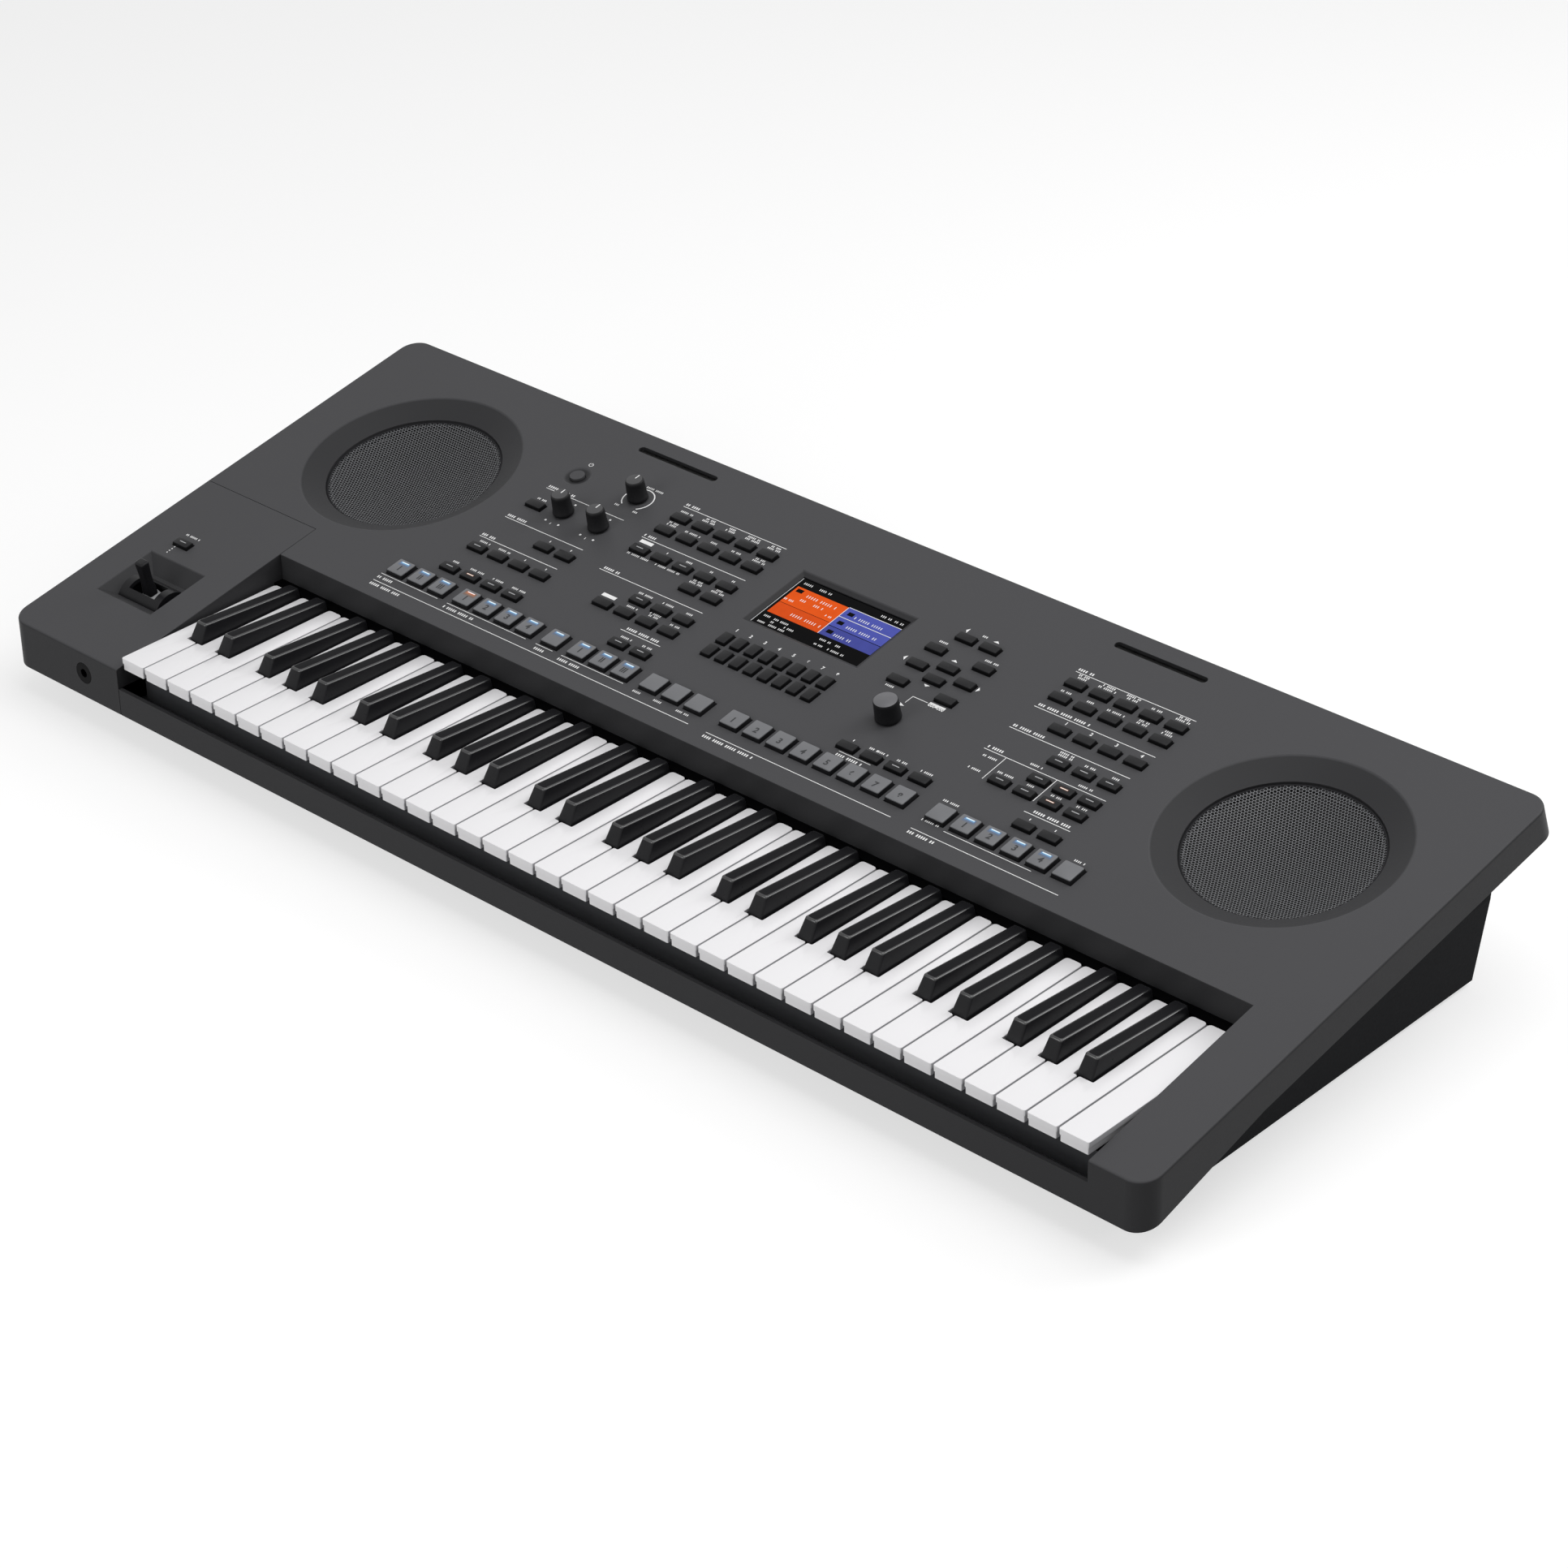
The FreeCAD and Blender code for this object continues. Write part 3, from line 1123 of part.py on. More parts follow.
def joystick():
    """Tilting drum on its bracket, and the bend lever pivoted inside the drum."""
    x = "joystick_x"
    row = "joystick_row"
    axis = "(0 - drum_drop)"
    half = "drum_width / 2"
    inner = "(drum_radius - drum_wall)"
    skin = cross_cylinder("drum_skin", "%s - %s" % (x, half), row, axis, "drum_radius", "drum_width", "x")
    hollow = cross_cylinder("drum_hollow", "%s - %s + drum_wall" % (x, half), row, axis, inner,
                            "drum_width - 2 * drum_wall", "x")
    below = centred_box("drum_open_side", x, row, "%s - 2 * drum_radius" % axis, "2 * drum_width",
                        "3 * drum_radius", "2 * drum_radius - drum_below")
    slot = centred_box("drum_slot", x, row, axis, "drum_slot_length", "drum_slot_width", "2 * drum_radius")
    lever_holes = cross_cylinder("lever_pin_holes", x, "%s - 2 * drum_radius" % row, axis,
                                 "lever_pin_radius + pivot_clearance", "4 * drum_radius", "y")
    shell = cut("drum_shell", skin, hollow, below, slot, lever_holes)
    pins = [cross_cylinder("drum_pin_%d" % k, start, row, axis, "drum_pin_radius", "drum_pin_length + 1", "x")
            for k, start in enumerate(("%s - %s - drum_pin_length" % (x, half), "%s + %s - 1" % (x, half)))]
    node(on_panel(fuse("joystick_drum", shell, *pins)), "joystick_drum")
    foot = ("%s - lever_width / 2" % x, "%s + lever_width / 2" % x,
            "%s - lever_thickness / 2" % row, "%s + lever_thickness / 2" % row)
    tip = ("%s - lever_width / 2 + lever_taper" % x, "%s + lever_width / 2 - lever_taper" % x,
           "%s - lever_thickness / 2 + lever_taper" % row, "%s + lever_thickness / 2 - lever_taper" % row)
    stalk = taper("lever_stalk", foot, tip, axis, "lever_height")
    hub = cross_cylinder("lever_hub", x, "%s - lever_skirt_width / 2" % row, axis, "2 * lever_pin_radius",
                         "lever_skirt_width", "y")
    pin = cross_cylinder("lever_pin", x, "%s - drum_radius + 1" % row, axis, "lever_pin_radius",
                         "2 * drum_radius - 2", "y")
    arc = cross_cylinder("skirt_skin", x, "%s - lever_skirt_width / 2" % row, axis, "lever_skirt_radius",
                         "lever_skirt_width", "y")
    arc_hollow = cross_cylinder("skirt_hollow", x, "%s - lever_skirt_width / 2 - 1" % row, axis,
                                "lever_skirt_radius - lever_skirt_wall", "lever_skirt_width + 2", "y")
    keep = centred_box("skirt_span", x, row, axis, "2 * lever_skirt_half", "2 * lever_skirt_width",
                       "2 * lever_skirt_radius")
    skirt = common("skirt", cut("skirt_ring", arc, arc_hollow), keep)
    node(on_panel(fuse("joystick_lever", stalk, hub, pin, skirt)), "joystick_lever")
    cheek_top = "(0 - well_depth - well_wall)"
    floor = "(%s - bracket_drop)" % axis
    parts = []
    for side in (-1, 1):
        near = "(%s + cheek_play)" % half
        start = "%s + %s" % (x, near) if side > 0 else "%s - %s - cheek_thickness" % (x, near)
        parts.append(box("cheek_%d" % side, start, "%s - bracket_half_length" % row, floor, "cheek_thickness",
                         "2 * bracket_half_length", "%s - %s" % (cheek_top, floor)))
    parts.append(centred_box("bracket_base", x, row, "%s - bracket_plate" % floor,
                             "drum_width + 2 * (cheek_play + cheek_thickness)", "2 * bracket_half_length",
                             "bracket_plate"))
    bores = cross_cylinder("drum_pin_bores", "%s - 2 * drum_width" % x, row, axis,
                           "drum_pin_radius + pivot_clearance", "4 * drum_width", "x")
    node(on_panel(cut("joystick_bracket", fuse("bracket_solid", *parts), bores)), "joystick_bracket")


def jack(name, bore):
    """A panel jack whose mouth is at z = jack_proud and whose body runs inward."""
    body = cylinder(name + "_body", 0, 0, "0 - jack_length", "jack_radius", "jack_length + jack_proud")
    hole = cylinder(name + "_bore", 0, 0, "jack_proud - jack_bore_depth", bore, "jack_bore_depth + 1")
    return cut(name, body, hole)


def port(name, width, height):
    """A square socket, open outward."""
    shell = centred_box(name + "_shell", 0, 0, "0 - port_depth", "%s + 2 * port_wall" % width,
                        "%s + 2 * port_wall" % height, "port_depth + jack_proud")
    hollow = centred_box(name + "_hollow", 0, 0, "port_wall - port_depth", width, height, "2 * port_depth")
    return cut(name, shell, hollow)


REAR_JACKS = ("pedal_jack_x", "pedal_jack_x + pedal_jack_pitch", "aux_jack_x")
PORTS = (("usb_host", "usb_host_x", "usb_square", "usb_square_height"),
         ("usb_device", "usb_device_x", "usb_wide", "usb_low"))


def socket_holes():
    """Openings in the rear wall for the jacks, ports and power inlet, in rear wall places."""
    across = "0 - socket_height"
    holes = [cylinder("rear_jack_hole_%d" % k, x, across, "0 - 2 * case_wall",
                      "jack_radius + socket_clearance", "4 * case_wall") for k, x in enumerate(REAR_JACKS)]
    for name, x, width, height in PORTS:
        gap = "2 * port_wall + 2 * socket_clearance"
        holes.append(centred_box(name + "_hole", x, across, "0 - 2 * case_wall", "%s + %s" % (width, gap),
                                 "%s + %s" % (height, gap), "4 * case_wall"))
    inlet = "dc_size + 2 * socket_clearance"
    holes.append(centred_box("dc_hole", "dc_inlet_x", across, "0 - 2 * case_wall", inlet, inlet,
                             "4 * case_wall"))
    return holes


def sockets():
    """Jacks at the front and rear, and the rear ports with the power inlet."""
    across = "0 - socket_height"
    plain = jack("jack", "jack_bore")
    mini = jack("mini_jack", "mini_jack_bore")
    rear = [copy("rear_jack_%d" % k, mini if x == "aux_jack_x" else plain, x, across)
            for k, x in enumerate(REAR_JACKS)]
    front = copy("phones_jack", plain, "phones_x", "phones_height", "0 - jack_proud")
    node(group("jack_sockets", [on_rear(group("rear_jacks", rear)), on_front(group("front_jacks", [front]))]),
         "jack_sockets")
    shells = [copy(name + "_port", port(name, width, height), x, across) for name, x, width, height in PORTS]
    shell = centred_box("dc_shell", "dc_inlet_x", across, "0 - port_depth", "dc_size", "dc_size",
                        "port_depth + jack_proud")
    bore = cylinder("dc_mouth", "dc_inlet_x", across, "jack_proud - port_depth + port_wall", "dc_bore",
                    "2 * port_depth")
    pin = cylinder("dc_pin", "dc_inlet_x", across, "0 - port_depth", "dc_pin", "port_depth")
    shells.append(fuse("dc_inlet", cut("dc_socket", shell, bore), pin))
    node(on_rear(group("rear_ports", shells)), "rear_ports")


def main_board_posts():
    """(x, depth) of the posts under the main board."""
    half = "(main_board_width / 2 - main_board_inset)"
    return [("main_board_x + %d * %s" % (side, half), depth) for side in (-1, 1)
            for depth in ("(main_board_front + main_board_inset)",
                          "(main_board_front + main_board_length - main_board_inset)")]


def main_board():
    """Main circuit board with its larger components, on the lower case's posts."""
    z = "(%s + main_board_lift)" % FLOOR
    y = "%s + main_board_front" % FRONT
    plate = box("main_plate", "main_board_x - main_board_width / 2", y, z, "main_board_width",
                "main_board_length", "board_thickness")
    chips = [centred_box("chip_%d" % k, "main_board_x + %g * main_board_width" % share,
                         "%s + main_board_length / 2" % y, z, "main_board_length / %d" % size,
                         "main_board_length / %d" % size, "board_thickness + chip_height")
             for k, (share, size) in enumerate(((-0.3, 4), (-0.05, 3), (0.15, 5), (0.32, 4)))]
    node(group("main_board", [fuse("main_board_fitted", plate, *chips)]), "main_board")


switch_places = upper_case()
panel_boards(switch_places)
lower_case()
keys()
keybed()
speakers()
joystick()
sockets()
main_board()
doc.recompute()

faults = [thing.Name for thing in doc.Objects if {"Invalid", "Error"} & set(thing.State)]
for thing in NODES:
    shape = thing.Shape
    if shape.isNull() or not shape.isValid() or not shape.Solids:
        faults.append(thing.Label)
if faults:
    raise RuntimeError("failed objects: " + ", ".join(faults))
os.makedirs("parts", exist_ok=True)
for thing in NODES:
    thing.Shape.exportStep("parts/%s.step" % thing.Label)
print(len(NODES), "sub-parts,", sum(len(thing.Shape.Solids) for thing in NODES), "solids")
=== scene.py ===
"""Looks of a 61-key arranger keyboard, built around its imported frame.

Lengths in the tables are millimetres. Places on the sloping panel are (across, back, up): across from the
case's middle, back from the panel's front edge along the slope, and up from its surface. Places on the keys
are measured from the lowest key's left front corner, up from the white keys' tops.
"""
import json
import math

import bpy
import numpy as np
from bpy.props import FloatProperty, FloatVectorProperty, PointerProperty
from mathutils import Matrix, Vector


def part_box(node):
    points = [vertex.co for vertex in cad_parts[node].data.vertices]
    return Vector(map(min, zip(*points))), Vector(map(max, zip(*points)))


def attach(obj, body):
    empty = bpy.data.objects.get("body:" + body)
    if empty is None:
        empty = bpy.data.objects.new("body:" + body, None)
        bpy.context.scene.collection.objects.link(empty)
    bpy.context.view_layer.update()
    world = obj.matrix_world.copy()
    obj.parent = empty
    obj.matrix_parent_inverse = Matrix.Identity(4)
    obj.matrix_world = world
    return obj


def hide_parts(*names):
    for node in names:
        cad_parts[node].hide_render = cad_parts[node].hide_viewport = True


bl_info = {
    "name": "Arranger keyboard looks",
    "version": (1, 0, 0),
    "blender": (4, 5, 0),
    "location": "3D View > Sidebar > Keyboard",
    "description": "Dresses a 61-key arranger keyboard with its keys, controls, print and finishes",
    "category": "Object",
}

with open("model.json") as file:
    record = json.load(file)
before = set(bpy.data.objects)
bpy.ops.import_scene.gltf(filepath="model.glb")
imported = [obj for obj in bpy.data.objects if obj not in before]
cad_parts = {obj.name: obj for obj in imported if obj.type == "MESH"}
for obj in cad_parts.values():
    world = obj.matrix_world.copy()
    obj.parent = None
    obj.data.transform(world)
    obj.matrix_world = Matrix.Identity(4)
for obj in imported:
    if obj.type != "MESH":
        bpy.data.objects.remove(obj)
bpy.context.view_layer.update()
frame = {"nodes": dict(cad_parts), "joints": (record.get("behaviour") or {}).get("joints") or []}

MM = 0.001
CREASE = math.radians(40)
ACROSS = np.array([1.0, 0.0, 0.0])

# The panel's own axes, from the volume knob's hinge, which stands square on it
VOLUME_ROW = 334.4
VOLUME_HINGE = next(joint for joint in frame["joints"] if joint["name"] == "volume_knob_turn")
PANEL_UP = np.array(VOLUME_HINGE["axis"])
PANEL_BACK = np.cross(PANEL_UP, ACROSS)
PANEL_FOOT = np.array(VOLUME_HINGE["pos_m"]) * (0, 1, 1) - VOLUME_ROW * MM * PANEL_BACK

# Keys
KEY_PITCH = 23.5
KEY_GAP = 0.6
KEY_SHOWN_GAP = 1.4
KEY_HEAD = 47.5
KEY_SHOW = 139.0
KEY_TAIL = 212.0
KEY_DEPTH = 9.0
KEY_TAIL_TOP = -3.5
KEY_LAP = 3.0
KEY_TAIL_CORNER = 0.8
KEY_FRONT_CORNER = 1.5
KEY_HEAD_CORNER = 1.2
KEY_NOTCH_CORNER = 0.7
KEY_REAR_CORNER = 2.6
# A white key's profile under its rounded edge, as (inset, height): the skirt and the lip over it
KEY_SKIRT = [(0.7, -KEY_DEPTH), (0.7, -4.4), (0.05, -4.0)]
BLACK_HALF = 6.0
BLACK_TOP_HALF = 4.8
BLACK_FRONT = 48.5
BLACK_SLOPE = 6.5
BLACK_REAR = 139.0
BLACK_HEIGHT = 12.0
BLACK_REAR_SHARE = 0.5
BLACK_DEPTH = 7.0
BLACK_CORNER = 1.2
BLACK_TOP_CORNER = 1.7
OCTAVES = 5
LOWEST_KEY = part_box("white_keys_cegb_1")
KEY_CORNER = np.array([LOWEST_KEY[0].x - KEY_GAP / 2 * MM, LOWEST_KEY[0].y, LOWEST_KEY[1].z])
# A white key's tail as (share of the pitch, shares to its left, keys to its left)
THIRD = 3 * KEY_PITCH / 5
FOURTH = 4 * KEY_PITCH / 7
TAILS = {"c": (THIRD, 0, 0), "d": (THIRD, 2, 1), "e": (THIRD, 4, 2),
         "f": (FOURTH, 0, 0), "g": (FOURTH, 2, 1), "a": (FOURTH, 4, 2), "b": (FOURTH, 6, 3)}
BLACK_PLACES = [1.5 * THIRD, 3.5 * THIRD,
                3 * KEY_PITCH + 1.5 * FOURTH, 3 * KEY_PITCH + 3.5 * FOURTH, 3 * KEY_PITCH + 5.5 * FOURTH]

# Panel controls
BUTTON = (15.2, 7.4, 2.6)
PAD = (16.0, 15.6, 3.2)
SCREEN_BUTTON = (8.6, 11.4, 2.4)
PITCH = 20.4
SCREEN_PITCH = 12.8
PAD_ROW = 185.9
# Heights of the layers of print and light over what they lie on
HALO_RISE, PRINT_RISE, FIELD_RISE, BAR_RISE, PICTURE_RISE, MARK_RISE = 0.02, 0.04, 0.05, 0.07, 0.08, 0.09
# Painted shade on the case's walls and dishes: their tone against the face, and the depths under the face where
# that shade starts and ends to fall
PAINTED_WALL_SHADE = 0.5
SHADE_START, SHADE_END = 0.2, 0.8


def row(middle, columns, wanted, back, pitch=PITCH):
    """Places of the wanted columns of a row of equal columns centred on a middle."""
    return [(middle + (k - (columns - 1) / 2) * pitch, back) for k in wanted]


STYLE_PADS = (row(-276.4, 3, range(3), PAD_ROW) + row(-200.8, 4, range(4), PAD_ROW) + [(-145.5, PAD_ROW)]
              + row(-100.6, 3, range(3), PAD_ROW) + row(-33.4, 3, range(3), PAD_ROW))
REGISTRATION_PADS = row(90.2, 8, range(8), PAD_ROW)
MULTI_PADS = row(245.6, 6, range(6), PAD_ROW)
BUTTONS = {
    "tempo_buttons": row(-238.1, 4, range(4), 205.5) + row(-238.1, 4, range(4), 232.6)
    + row(-238.1, 4, (2, 3), 257.5) + row(-238.1, 4, (0,), 290.6),
    "style_select_buttons": row(-126.2, 5, range(5), 316.1) + row(-126.2, 5, range(5), 332.2),
    "song_buttons": row(-126.2, 5, range(5), 290.6) + row(-126.2, 5, (3, 4), 275.2),
    "function_buttons": row(-126.2, 5, (1, 2, 3, 4), 232.6) + row(-126.2, 5, (2, 3, 4), 247.6)
    + row(-126.2, 5, (3, 4), 205.5),
    "cursor_buttons": row(102.1, 3, (0.5, 1.5), 332.2) + row(102.1, 3, (0, 2), 313.6)
    + row(102.1, 3, (0, 2), 294.7) + [(102.1, 301.8), (102.1, 287.6)] + row(102.1, 3, (0, 2), 275.2),
    "bank_buttons": row(129.7, 4, range(4), 205.5),
    "voice_buttons": row(224.9, 5, range(5), 316.1) + row(224.9, 5, range(5), 332.2),
    "one_touch_buttons": row(224.9, 5, (1, 2, 3, 4), 290.6),
    "effect_buttons": row(224.9, 5, (2, 3, 4), 264.6),
    "part_buttons": row(224.9, 5, (1, 2, 3, 4), 230.9) + row(224.9, 5, (2, 3, 4), 244.9)
    + row(224.9, 5, (3, 4), 205.5),
    "hold_button": [(-458.0, 123.9)],
}
SCREEN_BUTTONS = (row(-2.2, 8, range(8), 232.6, SCREEN_PITCH) + row(-2.2, 8, range(8), 247.6, SCREEN_PITCH))
# Which buttons of a set carry an indicator slit, and which of those are lit
SLITS = {"tempo_buttons": (0, 1, 2, 3, 4), "song_buttons": (0, 2), "function_buttons": (4, 7, 8),
         "bank_buttons": (2,), "effect_buttons": (0, 1, 2), "part_buttons": (0, 1, 2, 3, 4, 5, 6),
         "hold_button": (0,)}
LIT_SLITS = {"tempo_buttons": (1,), "part_buttons": (2, 5)}
STYLE_MARKS = ("I", "II", "III", "1", "2", "3", "4", "", "I", "II", "III", "", "", "")
STYLE_LIGHTS = (0, 1, 2, 4, 5, 6, 7, 8, 9, 10)
STYLE_AMBER = (3,)
MULTI_MARKS = ("", "1", "2", "3", "4", "")
MULTI_LIGHTS = (1, 2, 3, 4)
KNOBS = {"live_knob_1": (-244.5, 294.4), "live_knob_2": (-210.4, 294.4), "volume_knob": (-210.4, VOLUME_ROW)}
DIAL = (102.1, 242.1)
KNOB_LIFT = 0.8
# Turned profiles as (radius, height)
KNOB_PROFILE = [(7.3, 0.2), (7.7, 0.8), (7.7, 2.4), (7.25, 3.2), (6.7, 13.6), (6.55, 15.1), (6.2, 15.9),
                (5.7, 16.25)]
KNOB_FACE = [(5.72, 16.1), (5.7, 16.25), (5.4, 16.3)]
KNOB_POINTER = (0, 1.2, 0, 5.6)
POINTER_WIDTH, POINTER_RISE = 0.85, 16.34
DIAL_PROFILE = [(8.7, 0.2), (9.0, 0.7), (9.0, 2.0), (8.75, 3.2), (8.4, 12.8), (8.3, 14.1), (7.9, 14.9)]
DIAL_FACE = [(7.92, 14.8), (7.9, 14.9), (7.4, 15.2)]
# Marks on pads and buttons: half lengths, places back from the middle, heights and widths
PAD_BAR_HALF, PAD_BAR_BACK, PAD_BAR_WIDTH, PAD_CORE_WIDTH = 3.4, 4.6, 1.1, 0.7
PAD_MARK_BACK, PAD_MARK_HEIGHT = -1.6, 5.0
SLIT_HALF, SLIT_BACK, SLIT_WIDTH = 3.0, 0.4, 0.7
HALO_HALF, HALO_WIDTH = 3.3, 1.4
SCREEN = (-2.2, 302.2, 96.0, 55.4)
PANE_TOP = -3.0
PANE_THICKNESS = 1.5
PANE_LAP = 3.0
SPEAKERS = {"speaker_grille_left": (-386.2, 281.6), "speaker_grille_right": (386.2, 281.6)}
GRILLE_RADIUS = 64.0
GRILLE_TOP = -9.4
GRILLE_THICKNESS = 1.2
SHEET_THICKNESS = 0.5
GRILLE_DIP = 9.0
GRILLE_SINK = 0.2
HOLE_SHARE = 0.48
# The beading round a grille, as (radius past the grille's, height)
BEADING = [(0.0, -GRILLE_THICKNESS), (0.0, -0.1), (-0.4, 0.1), (-1.2, 0.1), (-1.5, -0.2),
           (-1.5, -GRILLE_THICKNESS)]
SHEET_MARGIN = 0.8
STICK = (-442.7, 77.4)
STICK_AXIS = -15.7
STICK_CORNER = 1.6
# The lever's sections as (half width, half length, height over its axis), then its rounded head
STICK_SECTIONS = [(4.5, 3.8, 0.0), (4.5, 3.8, 13.0), (3.9, 3.4, 20.1), (3.8, 3.3, 26.1), (4.4, 3.5, 33.6)]
STICK_HEAD = (4.5, 3.6, 37.1)
STICK_HEAD_EDGE = 1.4
# The shutter under the lever's slot: half angle, inner and outer radius, half width
SHUTTER = (52, 8.4, 10.4, 5.0)

# Printed rules on the panel, each from one place to another
RULES = [
    (-277.8, 310.6, -201.7, 310.6), (-279.0, 270.2, -202.4, 270.2), (-278.7, 244.6, -202.4, 244.6),
    (-176.4, 345.0, -79.6, 345.0), (-177.4, 303.4, -79.8, 303.4), (-177.4, 261.0, -80.2, 261.0),
    (-116.6, 218.8, -80.0, 218.8), (174.4, 344.2, 272.1, 344.2), (174.0, 302.3, 272.3, 302.3),
    (173.9, 277.4, 271.8, 277.4), (173.9, 252.2, 272.7, 252.2), (192.5, 252.2, 192.5, 228.0),
    (233.8, 252.2, 233.8, 228.0), (235.3, 217.6, 272.1, 217.6), (-307.1, 168.2, -6.8, 168.2),
    (-307.6, 176.4, -251.3, 176.4), (-242.0, 176.4, -165.4, 176.4), (-155.7, 176.4, -139.8, 176.4),
    (-131.5, 176.4, -73.8, 176.4), (9.1, 168.2, 167.9, 168.2), (185.5, 167.2, 303.7, 167.2),
    (205.2, 175.6, 275.5, 175.6), (96.3, 200.2, 123.1, 200.2), (100.2, 260.6, 100.6, 268.1),
    (100.6, 268.1, 113.1, 268.1)]
# Bare marks in the place of section titles: (left end, back, length)
TITLES = [(-277.8, 313.2, 25), (-279.0, 273.0, 21), (-278.7, 247.2, 12), (-176.4, 347.8, 13),
          (-177.4, 306.2, 11), (-177.4, 263.8, 17), (-113.6, 221.8, 29), (174.4, 347.0, 13), (175.0, 305.3, 42),
          (174.6, 280.4, 28), (174.6, 255.2, 12), (238.6, 220.6, 31), (-307.1, 164.6, 29), (9.1, 164.6, 44),
          (185.5, 163.6, 22), (-307.6, 172.6, 14), (-242.0, 172.6, 30), (-155.7, 172.6, 13),
          (-131.5, 172.6, 22), (96.3, 197.0, 22), (114.5, 267.0, 13)]
TITLE_HEIGHT, TITLE_STROKE = 2.3, 1.0
# The same in the place of single words, and of the words behind each button: one or two rows of lengths
NOTES = [(-215.3, 348.5, 17), (-221.5, 322.0, 5), (-203.8, 321.8, 5), (-173.9, 284.9, 20), (-147.3, 284.9, 23),
         (75.7, 322.2, 10), (76.4, 268.5, 8), (116.1, 322.2, 11), (98.3, 341.2, 5), (177.5, 246.7, 11),
         (176.9, 232.7, 12), (207.5, 255.9, 11), (248.1, 255.5, 11), (291.1, 198.2, 9), (185.0, 199.0, 13),
         (-465.9, 133.9, 15), (185.5, 177.4, 15), (-64.8, 174.6, 8), (-44.4, 174.6, 9), (-24.0, 174.6, 11),
         (111.0, 213.2, 16)]
NOTE_HEIGHT, NOTE_STROKE, NOTE_LINE = 1.8, 0.75, 2.5
LABEL_SHIFT, LABEL_BACK = -1.2, 7.8
LABELS = {
    "tempo_buttons": ((7,), (13,), (10,), (13,), (11,), (12,), (2,), (2,), (2,), (2,), (9,)),
    "style_select_buttons": ((9, 9), (15,), (7,), (9,), (9, 11), (12,), (9, 12), (6, 9), (12, 13), (9, 12)),
    "song_buttons": ((), (2,), (6,), (5,), (5,), (9, 12), (7, 12)),
    "function_buttons": ((), (11,), (10, 8), (9,), (14,), (10,), (7,), (11,), (9,)),
    "bank_buttons": ((2,), (2,), (9,), (10,)),
    "voice_buttons": ((9,), (7,), (15,), (8, 8), (7, 9), (9, 10), (10, 14), (12, 8), (9,), (9, 11)),
    "effect_buttons": ((12, 11), (9,), (6,)),
    "part_buttons": ((14,), (7,), (9,), (9,), (), (), (), (2,), (2,)),
}
# Printed boxes behind a button: (left end, right end, back)
BOXES = [(-175.0, -163.4, 299.8), (-155.2, -142.8, 241.3), (114.3, 127.4, 268.2)]
CURSOR_ARROWS = [(69.1, 296.8, 180), (99.9, 310.8, 90), (100.6, 281.4, 270), (132.5, 295.8, 0),
                 (86.0, 340.4, 180), (110.8, 340.8, 90), (99.6, 257.6, 250)]
ARROW_SIZE = 2.5
POWER_MARK = (-269.0, 347.4)
# Arcs as (radius, first angle, last angle, steps), and lines and dots from a mark's or a knob's middle
POWER_RING = (1.7, -235, 55, 16)
POWER_STEM = (0, 0.5, 0, 2.2)
VOLUME_ARC = (11.7, -55, 235, 40)
KNOB_TICK = (-0.4, -14.4, -0.4, -12.4)
KNOB_DOTS = [(-7.1, -12.0, -5.6, -12.0), (5.3, -12.0, 6.8, -12.0), (-0.7, 11.6, 0.8, 11.6)]
HOLD_TICKS = [(-462.0, back, -462.0, back + 1.0) for back in (111.4, 113.8, 116.2, 118.6)]
ARC_WIDTH, TICK_WIDTH, DOT_WIDTH, BOX_WIDTH = 0.9, 1.0, 1.5, 3.2
NUMBER_HEIGHT, NUMBER_BACK = 2.9, 8.2
SCREEN_NUMBER_ROW = 259.2

# The display's page from its middle: colour fields as (left, right, front, rear, finish), dark pictures, rules
# and the marks in the place of words as (left end, back, length, height)
PICTURE_WIDTH, SCREEN_RULE, SCREEN_STROKE = 3.6, 0.5, 0.65
SPLIT = 0.5
# The edge field is a painted highlight: a bright line down the pane's left side
FIELDS = [(-45.0, SPLIT, -0.6, 18.4, "amber"), (-45.0, SPLIT, -13.4, -1.0, "orange"),
          (SPLIT + 0.4, 47.0, 8.2, 18.4, "blue"), (SPLIT + 0.4, 47.0, -2.6, 7.6, "blue"),
          (SPLIT + 0.4, 47.0, -13.4, -3.2, "indigo"), (-47.9, -47.3, -27.0, 27.0, "edge")]
PICTURES = [(-43.2, 14.8, -37.6, 14.8), (4.4, 13.2, 9.4, 13.2), (4.4, 2.6, 9.4, 2.6), (4.4, -8.2, 9.4, -8.2)]
SCREEN_RULES = [(0.9, 18.7, 47.0, 18.7), (0.9, 7.9, 47.0, 7.9), (0.7, -13.4, 0.7, 18.4)]
SCREEN_MARKS = [
    (-33, 13.0, 27, 2.6), (-34, 7.6, 5, 2.2), (-22, 7.6, 8, 2.2), (-45, 3.6, 8, 1.8), (-8, 3.6, 6, 1.8),
    (-31, -7.8, 29, 2.6), (-44, 23.0, 8, 2.0), (-30, 23.0, 11, 2.0), (25, 23.0, 9, 2.0), (37, 23.0, 8, 2.0),
    (11, 11.8, 26, 2.4), (11, 1.2, 28, 2.4), (11, -9.4, 16, 2.4), (-44, -17.6, 6, 1.8), (-35, -17.6, 14, 1.8),
    (-35, -21.0, 5, 1.8), (-23, -21.0, 8, 1.8), (-45, -24.4, 8, 1.6), (-34, -24.4, 14, 1.8),
    (6, -17.6, 10, 1.8), (20, -17.6, 6, 1.8), (6, -23.4, 8, 1.6), (18, -23.4, 14, 1.8)]

